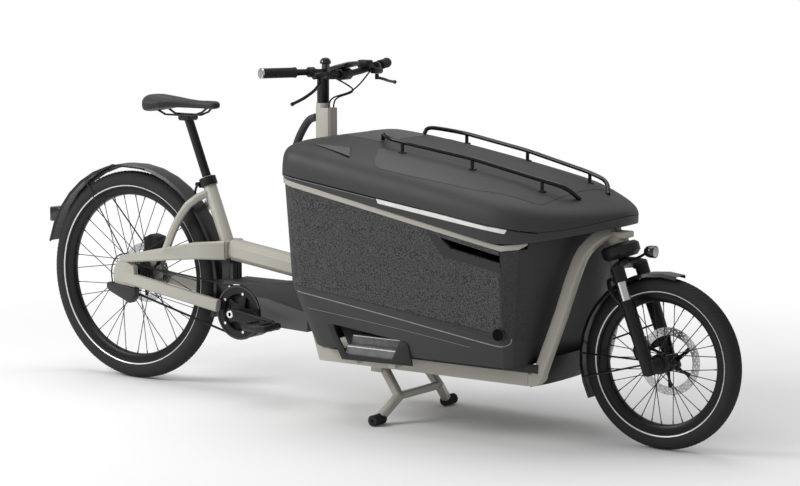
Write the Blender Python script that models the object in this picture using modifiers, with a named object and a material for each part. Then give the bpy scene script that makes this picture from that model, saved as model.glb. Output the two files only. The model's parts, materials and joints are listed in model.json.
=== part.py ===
"""Electric cargo bike with a long front box, modelled in metres with Z up.

The bike points along +X and its left side is +Y. Sizes along the bike are given from the rear axle,
and a datum empty carries everything so that the origin ends up on the ground under the middle.
"""

import math

import bmesh
import bpy
from mathutils import Matrix, Vector

# Clearances
SEAT = 0.0003
RUNNING = 0.0006

# Wheels
WHEELBASE = 2.039
REAR_BEAD_RADIUS = 0.292
REAR_TYRE_SECTION = 0.062
FRONT_BEAD_RADIUS = 0.203
FRONT_TYRE_SECTION = 0.055
RIM_WIDTH = 0.033
RIM_FLANGE = 0.006
RIM_DEPTH = 0.020
REAR_WHEEL_FACETS = 30
FRONT_WHEEL_FACETS = 26
SPOKE_RADIUS = 0.0011
SPOKE_STAGGER = 0.0025
REAR_SPOKES = 36
FRONT_SPOKES = 32
AXLE_RADIUS = 0.0060
ROTOR_RADIUS = 0.1015
ROTOR_BAND = 0.016
ROTOR_THICKNESS = 0.002
REAR_FLANGE_RADIUS = 0.047
REAR_FLANGE_OFFSET = 0.028
REAR_HUB_HALF = 0.0580
REAR_ROTOR_Y = 0.050
FRONT_FLANGE_RADIUS = 0.030
FRONT_FLANGE_OFFSET = 0.022
FRONT_HUB_HALF = 0.0500
FRONT_ROTOR_Y = 0.040
FLANGE_THICKNESS = 0.009
ROTOR_SEAT_RADIUS = 0.022

# Belt drive
BB_X = 0.488
BB_Z = 0.274
BELT_Y = -0.047
BELT_WIDTH = 0.012
BELT_PITCH = 0.011
BELT_THICKNESS = 0.003
PULLEY_TEETH = 46
SPROCKET_TEETH = 24
TOOTH_DEPTH = 0.0035
GUARD_RADIUS = 0.091
GUARD_THICKNESS = 0.002
GUARD_Y = BELT_Y - BELT_WIDTH / 2 - 0.002
SPIDER_RADIUS = 0.062
CRANK_LENGTH = 0.170
CRANK_ANGLE = math.radians(-6)
CRANK_INNER_Y = 0.088
CRANK_THICKNESS = 0.014
BB_AXLE_RADIUS = 0.013
PEDAL_WIDTH = 0.092
PEDAL_LENGTH = 0.098
PEDAL_HEIGHT = 0.022
PEDAL_SPINDLE_RADIUS = 0.006
MOTOR_RADIUS = 0.088
MOTOR_RIGHT_Y = -0.0370
MOTOR_LEFT_Y = 0.0500

# Rear frame
STAY_INNER_Y = 0.0585
STAY_WIDTH = 0.025
LOWER_STAY_HEIGHT = 0.040
LOWER_STAY_DROP = 0.062
STAY_FRONT_X = 0.415
UPPER_STAY_REAR_Z = 0.415
UPPER_STAY_BEND_X = 0.320
UPPER_STAY_BEND_Z = 0.467
UPPER_STAY_FRONT_Y = 0.0395
UPPER_STAY_REAR_HEIGHT = 0.024
UPPER_STAY_FRONT_HEIGHT = 0.056
SEAT_TUBE_SLOPE = 0.402
SEAT_TUBE_FOOT_X = 0.401
SEAT_TUBE_FOOT_Z = 0.490
SEAT_TUBE_TOP_Z = 0.705
SEAT_TUBE_RADIUS = 0.0225
SEAT_POST_RADIUS = 0.0150
SEAT_STAY_RADIUS = 0.0135

# Main beam and steering column
BEAM_FRONT_Z = 0.423
BEAM_REAR_Z = 0.472
BEAM_REAR_X = 0.430
BEAM_HEIGHT = 0.066
BEAM_WIDTH = 0.072
BEAM_CHAMFER = 0.016
BEAM_TAPER_X = 0.700
STEER_AXIS_X = 0.795
COLUMN_RADIUS = 0.0235
COLUMN_FRONT_X = 0.838
COLUMN_TOP_Z = 0.957
COLUMN_FOOT_Z = 0.183
STEM_RADIUS = 0.0195
STEM_CAP_HEIGHT = 0.015

# Box plan and heights
BOX_REAR_X = 0.848
BOX_FRONT_X = 1.800
BOX_HALF_WIDTH = 0.319
BOX_CORNER_X = 1.665
COLLAR_PROUD = 0.008
COLLAR_REAR_X = 0.8427
COLLAR_HALF_WIDTH = BOX_HALF_WIDTH + COLLAR_PROUD
BOX_NOSE_X = 1.918
NOSE_START_X = 1.640
BOX_REAR_RADIUS = 0.070
BOX_FRONT_RADIUS = 0.150
BOX_TOP_Z = 0.760
BOX_FOOT_Z = 0.2455
BOX_REAR_TUCK = 0.012
BOX_KINK_Z = 0.428
BOX_REAR_UNDERCUT = 0.085
BOX_SIDE_TUCK = 0.034
BOX_FRONT_TUCK = 0.100
NOSE_POWER = 1.7
SEAM_START_Z = 0.765
SEAM_START_X = 0.950
SEAM_SLOPE = 0.140
SEAM_LOW_X = 1.770
SEAM_NOSE_RISE = 0.037
SEAM_GAP = 0.0009
RAIL_START_Z = 0.748
RAIL_START_X = 0.900
RAIL_SLOPE = 0.190
RAIL_END_X = 1.660
RAIL_HALF_HEIGHT = 0.009
RAIL_GAP = 0.0010
COLLAR_NOSE_Z = 0.655
COLLAR_RISE_POWER = 1.6
PANEL_FOOT_Z = 0.428
PANEL_FOOT_X = 0.915
PANEL_FOOT_SLOPE = 0.111
SKIN_THICKNESS = 0.0080
SKIN_GAP = 0.0035
TUB_WALL = 0.005
TUB_LOWER_INSET = 0.068
TUB_STEP_Z = 0.340
RAIL_PROUD = 0.003

# Lid
LID_SPINE_REAR_X = 1.050
LID_SPINE_FRONT_X = 1.600
LID_WALL = 0.004
CROWN_Z = 0.895
CROWN_START_X = 1.050
CROWN_SLOPE = 0.134
CROWN_DROP = 0.080
LID_SHOULDERS = ((1.0, 0.0), (0.995, 0.25), (0.95, 0.52), (0.82, 0.72), (0.55, 0.88), (0.27, 0.97))
LID_REAR_SQUARENESS = 0.45
LID_HINGE_X = 1.940
LID_HINGE_Z = 0.530
LID_RAIL_RADIUS = 0.0065
LID_RAIL_LIFT = 0.032
LID_POST_X = (1.227, 1.467, 1.702)
LID_POST_Y = (0.177, 0.155, 0.137)

# Floor frame, hoop and stand
FLOOR_RAIL_Y = 0.185
FLOOR_RAIL_WIDTH = 0.036
FLOOR_RAIL_HEIGHT = 0.042
FLOOR_TOP_Z = 0.2247
FLOOR_REAR_X = 0.950
FLOOR_FRONT_X = 1.700
HOOP_WIDTH = 0.033
HOOP_DEPTH = 0.036
STAND_PIVOT_X = 1.100
STAND_PIVOT_Z = 0.168
STAND_FOOT_X = 1.1475
STAND_FOOT_RADIUS = 0.018
STAND_FOOT_OUTER_Y = 0.227
STAND_BAR = 0.026
STEP_REAR_X = 1.045
STEP_FRONT_X = 1.300

# Fork, in a frame on the steering axis with X forward
FORK_TILT = math.radians(20)
FORK_RAKE = 0.027
FORK_LEG_Y = 0.070
FORK_LEG_X = 0.012
FORK_LEG_RADIUS = 0.0215
STANCHION_RADIUS = 0.0160
FORK_TRAVEL = 0.032
LOWER_TOP = 0.205
CROWN_FOOT = 0.262
CROWN_UNDER = 0.306
CROWN_TOP = 0.329
STEERER_RADIUS = 0.0143
HOUSING_GAP = 0.0025
HOUSING_HEIGHT = 0.0425
HOUSING_FOOT = CROWN_TOP + HOUSING_GAP
HOUSING_TOP = HOUSING_FOOT + HOUSING_HEIGHT
HOUSING_RADIUS = 0.058
HEADLIGHT_X = 1.992
HEADLIGHT_Z = 0.586
HEADLIGHT_RADIUS = 0.0185
HEADLIGHT_LENGTH = 0.036

# Fenders and lights
REAR_FENDER_RADIUS = 0.380
REAR_FENDER_WIDTH = 0.070
REAR_FENDER_START = math.radians(-17)
REAR_FENDER_END = math.radians(166)
FRONT_FENDER_RADIUS = 0.272
FRONT_FENDER_WIDTH = 0.062
FRONT_FENDER_START = math.radians(78)
FRONT_FENDER_END = math.radians(208)
FENDER_THICKNESS = 0.002
FENDER_LIP = 0.012
FENDER_STAY_RADIUS = 0.0028
TAIL_LIGHT_REACH = 0.372

# Saddle and bars
SADDLE_REAR_X = 0.078
SADDLE_NOSE_X = 0.366
SADDLE_TOP_Z = 0.972
SADDLE_RAIL_Z = 0.915
POST_TOP_Z = SADDLE_RAIL_Z - 0.012
BAR_RADIUS = 0.0110
GRIP_RADIUS = 0.0158
BAR_END = (0.806, 0.335, 1.083)
BAR_GRIP_START = (0.866, 0.202, 1.082)
BAR_CLAMP = (0.877, 0.062, 1.066)

REAR_RADIUS = REAR_BEAD_RADIUS + REAR_TYRE_SECTION
FRONT_RADIUS = FRONT_BEAD_RADIUS + FRONT_TYRE_SECTION
FRONT_END_X = WHEELBASE + FRONT_RADIUS
CENTRE_X = (FRONT_END_X - TAIL_LIGHT_REACH) / 2
SIDES = (-1, 1)

LOOKS = {
    "frame_paint": ((0.47, 0.45, 0.38), 0.38, 0.15),
    "shell": ((0.055, 0.055, 0.058), 0.50, 0.0),
    "panel": ((0.085, 0.085, 0.088), 0.75, 0.0),
    "plastic": ((0.020, 0.020, 0.021), 0.45, 0.0),
    "cover": ((0.040, 0.040, 0.042), 0.50, 0.0),
    "battery": ((0.110, 0.110, 0.112), 0.45, 0.0),
    "gloss_black": ((0.012, 0.012, 0.013), 0.18, 0.3),
    "black_metal": ((0.018, 0.018, 0.019), 0.35, 0.7),
    "rubber": ((0.018, 0.018, 0.018), 0.80, 0.0),
    "steel": ((0.60, 0.60, 0.60), 0.28, 1.0),
    "silver": ((0.72, 0.72, 0.72), 0.22, 1.0),
    "saddle": ((0.030, 0.030, 0.031), 0.60, 0.0),
        "red_lens": ((0.16, 0.012, 0.012), 0.15, 0.0),
}


# Scene helpers


def start_scene():
    """Empty the scene and make the collection of parts and the one of cutters."""
    for leftover in list(bpy.data.objects):
        bpy.data.objects.remove(leftover)
    for title in ("electric_cargo_bike", "cutters"):
        bpy.context.scene.collection.children.link(bpy.data.collections.new(title))


def paint(part, look):
    """Give a part its own material with the finish of that name."""
    colour, roughness, metallic = LOOKS[look]
    finish = bpy.data.materials.new(part.name + "_finish")
    finish.use_nodes = True
    shader = finish.node_tree.nodes["Principled BSDF"]
    shader.inputs["Base Color"].default_value = (*colour, 1.0)
    shader.inputs["Roughness"].default_value = roughness
    shader.inputs["Metallic"].default_value = metallic
    part.data.materials.clear()
    part.data.materials.append(finish)


def tool(name, mesh, place=None):
    """A helper body that is hidden from renders: a cutter, or a piece to be joined to a part."""
    body = bpy.data.objects.new(name, mesh)
    bpy.data.collections["cutters"].objects.link(body)
    body.hide_render = True
    body.display_type = "WIRE"
    if place is not None:
        body.matrix_world = place
    return body


def part(name, body, look, pivot=None):
    """Turn a helper body into a named part, carried by a pivot where it moves."""
    bpy.data.collections["cutters"].objects.unlink(body)
    bpy.data.collections["electric_cargo_bike"].objects.link(body)
    body.name = name
    body.data.name = name
    body.hide_render = False
    body.display_type = "TEXTURED"
    body.data.shade_smooth()
    body.data.set_sharp_from_angle(angle=math.radians(32))
    paint(body, look)
    if pivot is not None:
        carry(pivot, body)
    return body


def carry(pivot, body):
    """Parent a body to a pivot without moving it."""
    bpy.context.view_layer.update()
    body.parent = pivot
    body.matrix_parent_inverse = pivot.matrix_world.inverted()


def pivot(name, place, parent=None):
    """An empty on a joint's axis."""
    empty = bpy.data.objects.new(name, None)
    bpy.data.collections["electric_cargo_bike"].objects.link(empty)
    empty.empty_display_size = 0.05
    empty.matrix_world = place
    if parent is not None:
        carry(parent, empty)
    return empty


def combine(body, others, operation="UNION"):
    """Join other bodies to this one, or cut them from it."""
    for other in others:
        step = body.modifiers.new(other.name, "BOOLEAN")
        step.operation = operation
        step.object = other
    return body


def soften(body, width, segments=1, angle=35):
    """Chamfer or round the edges that are sharper than an angle."""
    step = body.modifiers.new("edges", "BEVEL")
    step.width = width
    step.segments = segments
    step.limit_method = "ANGLE"
    step.angle_limit = math.radians(angle)
    return body


# Shapes


def close(shape, name, place=None):
    """Write a bmesh to a helper body with its faces pointing out."""
    bmesh.ops.recalc_face_normals(shape, faces=shape.faces)
    mesh = bpy.data.meshes.new(name)
    shape.to_mesh(mesh)
    shape.free()
    return tool(name, mesh, place)


def block(name, low, high, chamfer=0.0, place=None):
    """A box between two corners, with chamfered edges if asked."""
    low, high = Vector(low), Vector(high)
    shape = bmesh.new()
    bmesh.ops.create_cube(shape, size=1.0)
    bmesh.ops.scale(shape, vec=high - low, verts=shape.verts)
    bmesh.ops.translate(shape, vec=(high + low) / 2, verts=shape.verts)
    if chamfer:
        bmesh.ops.bevel(shape, geom=shape.edges[:], offset=chamfer, segments=1, affect="EDGES")
    return close(shape, name, place)


def between(start, end):
    """Matrix at the middle of two points, with Z running from one to the other."""
    start, end = Vector(start), Vector(end)
    turn = (end - start).to_track_quat("Z", "Y").to_matrix().to_4x4()
    return Matrix.Translation((start + end) / 2) @ turn


def add_rod(shape, start, end, radius, sides, end_radius=None):
    """Add a round bar between two points to a bmesh."""
    bmesh.ops.create_cone(
        shape,
        cap_ends=True,
        segments=sides,
        radius1=radius,
        radius2=radius if end_radius is None else end_radius,
        depth=(Vector(end) - Vector(start)).length,
        matrix=between(start, end),
    )


def rod(name, start, end, radius, sides=16, end_radius=None, place=None):
    """A round bar between two points."""
    shape = bmesh.new()
    add_rod(shape, start, end, radius, sides, end_radius)
    return close(shape, name, place)


def meshed(curve, name, place=None):
    """The mesh of a curve's surface as a helper body, with its caps welded."""
    holder = bpy.data.objects.new(name, curve)
    bpy.data.collections["cutters"].objects.link(holder)
    if place is not None:
        holder.matrix_world = place
    graph = bpy.context.evaluated_depsgraph_get()
    mesh = bpy.data.meshes.new_from_object(holder.evaluated_get(graph))
    bpy.data.objects.remove(holder)
    shape = bmesh.new()
    shape.from_mesh(mesh)
    bpy.data.meshes.remove(mesh)
    bmesh.ops.remove_doubles(shape, verts=shape.verts, dist=1e-6)
    return close(shape, name, place)


def rounded_route(points, reach, steps=3):
    """The points of a route with each inner corner eased over a distance on both sides."""
    points = [Vector(point) for point in points]
    route = [points[0]]
    for before, corner, after in zip(points, points[1:], points[2:]):
        back = before - corner
        ahead = after - corner
        start = corner + back.normalized() * min(reach, back.length * 0.49)
        end = corner + ahead.normalized() * min(reach, ahead.length * 0.49)
        for step in range(steps + 1):
            t = step / steps
            route.append(start * (1 - t) ** 2 + corner * (2 * t * (1 - t)) + end * t**2)
    return route + [points[-1]]


def tube(name, points, radius, resolution=1, place=None):
    """A round tube along points."""
    curve = bpy.data.curves.new(name, "CURVE")
    curve.dimensions = "3D"
    curve.bevel_depth = radius
    curve.bevel_resolution = resolution
    curve.use_fill_caps = True
    spline = curve.splines.new("POLY")
    spline.points.add(len(points) - 1)
    for knot, point in zip(spline.points, points):
        knot.co = (*point, 1.0)
    return meshed(curve, name, place)


def plate(name, outlines, thickness, place=None):
    """A flat plate from closed outlines, of which the inner ones are holes, centred on its plane."""
    curve = bpy.data.curves.new(name, "CURVE")
    curve.dimensions = "2D"
    curve.fill_mode = "BOTH"
    curve.extrude = thickness / 2
    for outline in outlines:
        spline = curve.splines.new("POLY")
        spline.points.add(len(outline) - 1)
        for knot, point in zip(spline.points, outline):
            knot.co = (point[0], point[1], 0.0, 1.0)
        spline.use_cyclic_u = True
    return meshed(curve, name, place)


def side_view(low_y, high_y, x=0.0, z=0.0):
    """Matrix that puts a plate's X and Y on the bike's X and Z, at the middle of two widths."""
    middle = (low_y + high_y) / 2
    return Matrix(((1, 0, 0, x), (0, 0, -1, middle), (0, 1, 0, z), (0, 0, 0, 1)))


def side_plate(name, outlines, low_y, high_y, x=0.0, z=0.0):
    """A plate that is drawn in side view and fills the space between two widths."""
    return plate(name, outlines, high_y - low_y, side_view(low_y, high_y, x, z))


def circle(radius, count, centre=(0.0, 0.0), start=0.0, sweep=math.tau):
    """Points round a circle, or along an arc of it with both ends."""
    last = count if math.isclose(sweep, math.tau) else count - 1
    angles = [start + sweep * step / last for step in range(count)]
    return [(centre[0] + radius * math.cos(a), centre[1] + radius * math.sin(a)) for a in angles]


def turned(name, profile, steps, place, closed=True, sweep=math.tau, wall=0.0, tilt=0.0):
    """A profile of (radius, height) points turned about local Z, down its outer side."""
    mesh = bpy.data.meshes.new(name)
    count = len(profile)
    edges = [(i, (i + 1) % count) for i in range(count if closed else count - 1)]
    mesh.from_pydata([(radius, 0.0, height) for radius, height in profile], edges, [])
    body = tool(name, mesh, place @ Matrix.Rotation(tilt, 4, "Z"))
    screw = body.modifiers.new("turn", "SCREW")
    screw.axis = "Z"
    screw.angle = sweep
    screw.steps = steps
    screw.render_steps = steps
    screw.use_merge_vertices = math.isclose(sweep, math.tau)
    screw.merge_threshold = 0.0001
    screw.use_smooth_shade = True
    if wall:
        shell = body.modifiers.new("wall", "SOLIDIFY")
        shell.thickness = wall
        shell.offset = -1
    return body


def skin(name, loops, ring=False, place=None):
    """A surface through cross-sections with equally many points, closed into a ring or capped."""
    shape = bmesh.new()
    rows = [[shape.verts.new(point) for point in loop] for loop in loops]
    following = rows[1:] + rows[:1] if ring else rows[1:]
    for row, ahead in zip(rows, following):
        for i in range(len(row)):
            j = (i + 1) % len(row)
            shape.faces.new((row[i], row[j], ahead[j], ahead[i]))
    if not ring:
        shape.faces.new(rows[0])
        shape.faces.new(rows[-1])
    return close(shape, name, place)


def bar_section(width, depth, chamfer):
    """The eight corners of a chamfered rectangle."""
    w, d = width / 2, depth / 2
    return (
        (w, d - chamfer),
        (w - chamfer, d),
        (chamfer - w, d),
        (-w, d - chamfer),
        (-w, chamfer - d),
        (chamfer - w, -d),
        (w - chamfer, -d),
        (w, chamfer - d),
    )


def bent_bar(name, points, across, widths, depths, chamfer, place=None):
    """A chamfered rectangular bar along a path. Its width starts along across and turns with the path."""
    points = [Vector(point) for point in points]
    directions = [(b - a).normalized() for a, b in zip(points, points[1:])]
    tangents = [directions[0]]
    tangents += [(a + b).normalized() for a, b in zip(directions, directions[1:])]
    tangents.append(directions[-1])
    side = Vector(across)
    loops = []
    for i, (point, tangent) in enumerate(zip(points, tangents)):
        side = (side - side.dot(tangent) * tangent).normalized()
        up = tangent.cross(side)
        before = directions[max(i - 1, 0)]
        stretch = 1 / max(before.dot(tangent), 0.5)
        bend = (before - before.dot(tangent) * tangent)
        bend = bend.normalized() if bend.length > 1e-6 else Vector()
        loop = []
        for u, v in bar_section(widths[i], depths[i], chamfer):
            offset = side * u + up * v
            offset += bend * offset.dot(bend) * (stretch - 1)
            loop.append(point + offset)
        loops.append(loop)
    return skin(name, loops, place=place)


# Axle frames

AXLE_TURN = Matrix.Rotation(math.radians(-90), 4, "X")
REAR_AXLE = Matrix.Translation((0.0, 0.0, REAR_RADIUS)) @ AXLE_TURN
FRONT_AXLE = Matrix.Translation((WHEELBASE, 0.0, FRONT_RADIUS)) @ AXLE_TURN
CRANK_AXIS = Matrix.Translation((BB_X, 0.0, BB_Z)) @ AXLE_TURN
FORK_ORIGIN = Vector((WHEELBASE, 0.0, FRONT_RADIUS)) - FORK_RAKE * Vector(
    (math.cos(FORK_TILT), 0.0, math.sin(FORK_TILT))
)
FORK = Matrix.Translation(FORK_ORIGIN) @ Matrix.Rotation(-FORK_TILT, 4, "Y")


# Wheels


def tyre(name, bead, section, facets, place, carrier):
    """An open tyre casing that stands on its rim."""
    half = section / 2
    foot = RIM_WIDTH / 2 - 0.0050
    side = [
        (bead, foot),
        (bead + 0.45 * section, half),
        (bead + 0.85 * section, 0.68 * half),
        (bead + section, 0.20 * half),
    ]
    lining = [(bead + 0.80 * section, 0.0), (bead, foot - 0.004)]
    outer = side + [(radius, -height) for radius, height in reversed(side)]
    inner = [(lining[1][0], -lining[1][1])] + lining
    part(name, turned(name, outer + inner, facets, place), "rubber", carrier)


def rim(name, bead, facets, place, carrier):
    """A deep rim with hooked flanges."""
    half = RIM_WIDTH / 2
    profile = [
        (bead + RIM_FLANGE, half),
        (bead - SEAT, half - 0.0027),
        (bead - SEAT, 0.0027 - half),
        (bead + RIM_FLANGE, -half),
        (bead - RIM_DEPTH, -0.35 * half),
        (bead - RIM_DEPTH, 0.35 * half),
    ]
    part(name, turned(name, profile, facets, place), "gloss_black", carrier)


def spoke_ends(count, crosses, flange_radius, flange_offset, rim_radius):
    """Start and end of each spoke, crossed in pairs on each flange."""
    for k in range(count):
        side = 1 if k % 2 else -1
        lead = 1 if (k // 2) % 2 else -1
        rim_angle = math.tau * k / count
        hub_angle = rim_angle + lead * crosses * math.tau / count * 2
        stagger = SPOKE_STAGGER * lead
        hub_height = side * flange_offset + stagger
        start = (flange_radius * math.cos(hub_angle), flange_radius * math.sin(hub_angle), hub_height)
        end = (rim_radius * math.cos(rim_angle), rim_radius * math.sin(rim_angle), side * 0.002)
        yield start, end


def spokes(name, count, crosses, flange_radius, flange_offset, bead, facets, place):
    """All spokes of a wheel as one helper body. They end just inside the rim."""
    rim_radius = (bead - RIM_DEPTH) * math.cos(math.pi / facets) - SEAT
    shape = bmesh.new()
    ends = spoke_ends(count, crosses, flange_radius - 0.004, flange_offset, rim_radius)
    for start, end in ends:
        add_rod(shape, start, end, SPOKE_RADIUS, 3)
    return close(shape, name, place)


def hub(name, half, flange_radius, flange_offset, shell_radius, rotor_y, facets, place):
    """A flanged hub with a through bore."""
    bore = AXLE_RADIUS + RUNNING
    outer = flange_offset + FLANGE_THICKNESS / 2
    inner = flange_offset - FLANGE_THICKNESS / 2
    side = [
        (bore, half),
        (0.012, half),
        (ROTOR_SEAT_RADIUS, rotor_y + 0.003),
        (ROTOR_SEAT_RADIUS, outer),
        (flange_radius, outer),
        (flange_radius, inner),
        (shell_radius, inner),
    ]
    outline = side + [(radius, -height) for radius, height in reversed(side)]
    return turned(name, outline, facets, place)


def rotor(name, y, place, carrier):
    """A disc brake rotor with a perforated band on six swept arms."""
    windows = []
    arms = 6
    inner = ROTOR_SEAT_RADIUS + 0.010
    outer = ROTOR_RADIUS - ROTOR_BAND
    for k in range(arms):
        start = math.tau * k / arms
        reach = math.tau / arms * 0.72
        hub_side = circle(inner, 2, start=start, sweep=reach * 0.8)
        rim_side = circle(outer, 3, start=start + 0.35 + reach, sweep=-reach)
        windows.append(hub_side + rim_side)
    holes = []
    count = 10
    for k in range(count):
        angle = math.tau * k / count
        radius = outer + ROTOR_BAND * (0.35 if k % 2 else 0.65)
        holes.append(circle(0.0026, 4, (radius * math.cos(angle), radius * math.sin(angle)), angle))
    outlines = [circle(ROTOR_RADIUS, 24), circle(ROTOR_SEAT_RADIUS + RUNNING, 12)] + windows + holes
    lift = place @ Matrix.Translation((0.0, 0.0, y))
    part(name, plate(name, outlines, ROTOR_THICKNESS, lift), "steel", carrier)


def rear_wheel(carrier):
    """Tyre, rim, spoked gear hub and rotor of the rear wheel."""
    tyre("rear_tyre", REAR_BEAD_RADIUS, REAR_TYRE_SECTION, REAR_WHEEL_FACETS, REAR_AXLE, carrier)
    rim("rear_rim", REAR_BEAD_RADIUS, REAR_WHEEL_FACETS, REAR_AXLE, carrier)
    body = hub(
        "rear_hub", REAR_HUB_HALF, REAR_FLANGE_RADIUS, REAR_FLANGE_OFFSET, 0.043, REAR_ROTOR_Y,
        12, REAR_AXLE,
    )
    laced = spokes(
        "rear_spokes", REAR_SPOKES, 3, REAR_FLANGE_RADIUS, REAR_FLANGE_OFFSET, REAR_BEAD_RADIUS,
        REAR_WHEEL_FACETS, REAR_AXLE,
    )
    part("rear_hub", combine(body, [laced]), "black_metal", carrier)
    rotor("rear_rotor", REAR_ROTOR_Y, REAR_AXLE, carrier)


def front_wheel(carrier):
    """Tyre, rim, spoked hub and rotor of the front wheel."""
    tyre("front_tyre", FRONT_BEAD_RADIUS, FRONT_TYRE_SECTION, FRONT_WHEEL_FACETS, FRONT_AXLE, carrier)
    rim("front_rim", FRONT_BEAD_RADIUS, FRONT_WHEEL_FACETS, FRONT_AXLE, carrier)
    body = hub(
        "front_hub", FRONT_HUB_HALF, FRONT_FLANGE_RADIUS, FRONT_FLANGE_OFFSET, 0.020,
        FRONT_ROTOR_Y, 12, FRONT_AXLE,
    )
    laced = spokes(
        "front_spokes", FRONT_SPOKES, 2, FRONT_FLANGE_RADIUS, FRONT_FLANGE_OFFSET, FRONT_BEAD_RADIUS,
        FRONT_WHEEL_FACETS, FRONT_AXLE,
    )
    part("front_hub", combine(body, [laced]), "black_metal", carrier)
    rotor("front_rotor", FRONT_ROTOR_Y, FRONT_AXLE, carrier)


# Belt drive


def tip_radius(teeth):
    """Radius over the teeth of a pulley with the belt's pitch."""
    return teeth * BELT_PITCH / math.tau


def toothed_outline(teeth):
    """The outline of a belt pulley."""
    tip = tip_radius(teeth)
    points = []
    for k in range(teeth):
        for share, radius in ((0.0, tip - TOOTH_DEPTH), (0.5, tip)):
            angle = math.tau * (k + share) / teeth
            points.append((radius * math.cos(angle), radius * math.sin(angle)))
    return points


def belt_outline(thickness):
    """One side of the belt round both pulleys, at a distance outside its running surface."""
    rear, front = Vector((0.0, REAR_RADIUS)), Vector((BB_X, BB_Z))
    rear_radius = tip_radius(SPROCKET_TEETH) + RUNNING + thickness
    front_radius = tip_radius(PULLEY_TEETH) + RUNNING + thickness
    line = front - rear
    heading = math.atan2(line.y, line.x)
    spread = math.acos((rear_radius - front_radius) / line.length)
    upper = Vector((math.cos(heading + spread), math.sin(heading + spread)))
    lower = Vector((math.cos(heading - spread), math.sin(heading - spread)))
    points = [rear + rear_radius * upper]
    points += circle(front_radius, 17, front, heading + spread, -2 * spread)
    points.append(rear + rear_radius * lower)
    points += circle(rear_radius, 11, rear, heading - spread, 2 * spread - math.tau)[1:-1]
    return points


def drive_belt():
    """The belt as a plain band that clears the pulleys' teeth where it wraps them."""
    low, high = BELT_Y - BELT_WIDTH / 2, BELT_Y + BELT_WIDTH / 2
    outlines = [belt_outline(BELT_THICKNESS), belt_outline(0.0)]
    part("drive_belt", side_plate("drive_belt", outlines, low, high), "rubber")


def rear_sprocket(carrier):
    """The toothed pulley on the gear hub's driver."""
    lift = REAR_AXLE @ Matrix.Translation((0.0, 0.0, BELT_Y))
    outlines = [toothed_outline(SPROCKET_TEETH), circle(ROTOR_SEAT_RADIUS + RUNNING, 16)]
    body = plate("rear_sprocket", outlines, BELT_WIDTH - 0.002, lift)
    part("rear_sprocket", body, "black_metal", carrier)


def drive_pulley(carrier):
    """The front belt pulley with its guard ring."""
    inner, outer = BELT_Y + BELT_WIDTH / 2 - 0.001, GUARD_Y + GUARD_THICKNESS / 2
    lift = CRANK_AXIS @ Matrix.Translation((0.0, 0.0, (inner + outer) / 2))
    ring = plate("drive_pulley", [toothed_outline(PULLEY_TEETH), circle(SPIDER_RADIUS, 20)], inner - outer, lift)
    guard = turned(
        "guard_ring",
        [
            (GUARD_RADIUS, GUARD_Y + GUARD_THICKNESS),
            (GUARD_RADIUS, GUARD_Y),
            (SPIDER_RADIUS + 0.004, GUARD_Y),
            (SPIDER_RADIUS + 0.004, GUARD_Y + GUARD_THICKNESS),
        ],
        26, CRANK_AXIS,
    )
    part("drive_pulley", combine(ring, [guard]), "black_metal", carrier)


def crank_end(side):
    """Centre of the pedal's spindle on one arm, in side view. The right arm points forward."""
    reach = -side * CRANK_LENGTH
    return BB_X + reach * math.cos(CRANK_ANGLE), BB_Z + reach * math.sin(CRANK_ANGLE)


def crank_arm(side):
    """A tapered arm with a boss at each end."""
    x, z = crank_end(side)
    inner = side * CRANK_INNER_Y
    outer = side * (CRANK_INNER_Y + CRANK_THICKNESS)
    low, high = min(inner, outer), max(inner, outer)
    heading = math.atan2(z - BB_Z, x - BB_X)
    wide = circle(0.020, 6, (BB_X, BB_Z), heading + math.pi / 2, math.pi)
    narrow = circle(0.0125, 5, (x, z), heading - math.pi / 2, math.pi)
    return soften(side_plate(f"crank_arm_{side}", [wide + narrow], low, high), 0.003)


def crankset(carrier):
    """Axle, spider and both arms, with the pedal spindles."""
    reach = CRANK_INNER_Y + CRANK_THICKNESS / 2
    axle = rod("bb_axle", (BB_X, -reach, BB_Z), (BB_X, reach, BB_Z), BB_AXLE_RADIUS, 12)
    star = []
    for k in range(5):
        start = math.tau * k / 5
        tip = SPIDER_RADIUS * math.cos(math.pi / 20) - SEAT
        star += circle(tip, 3, start=start - 0.13, sweep=0.26)
        star.append((0.026 * math.cos(start + math.pi / 5), 0.026 * math.sin(start + math.pi / 5)))
    lift = CRANK_AXIS @ Matrix.Translation((0.0, 0.0, BELT_Y))
    spider = plate("spider", [star], 0.006, lift)
    pieces = [spider]
    for side in SIDES:
        x, z = crank_end(side)
        start = CRANK_INNER_Y + CRANK_THICKNESS / 2
        pieces.append(crank_arm(side))
        end = CRANK_INNER_Y + CRANK_THICKNESS + 0.006 + PEDAL_WIDTH * 0.9
        pieces.append(rod(f"spindle_{side}", (x, side * start, z), (x, side * end, z), PEDAL_SPINDLE_RADIUS, 12))
    part("crankset", combine(axle, pieces), "black_metal", carrier)


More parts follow.
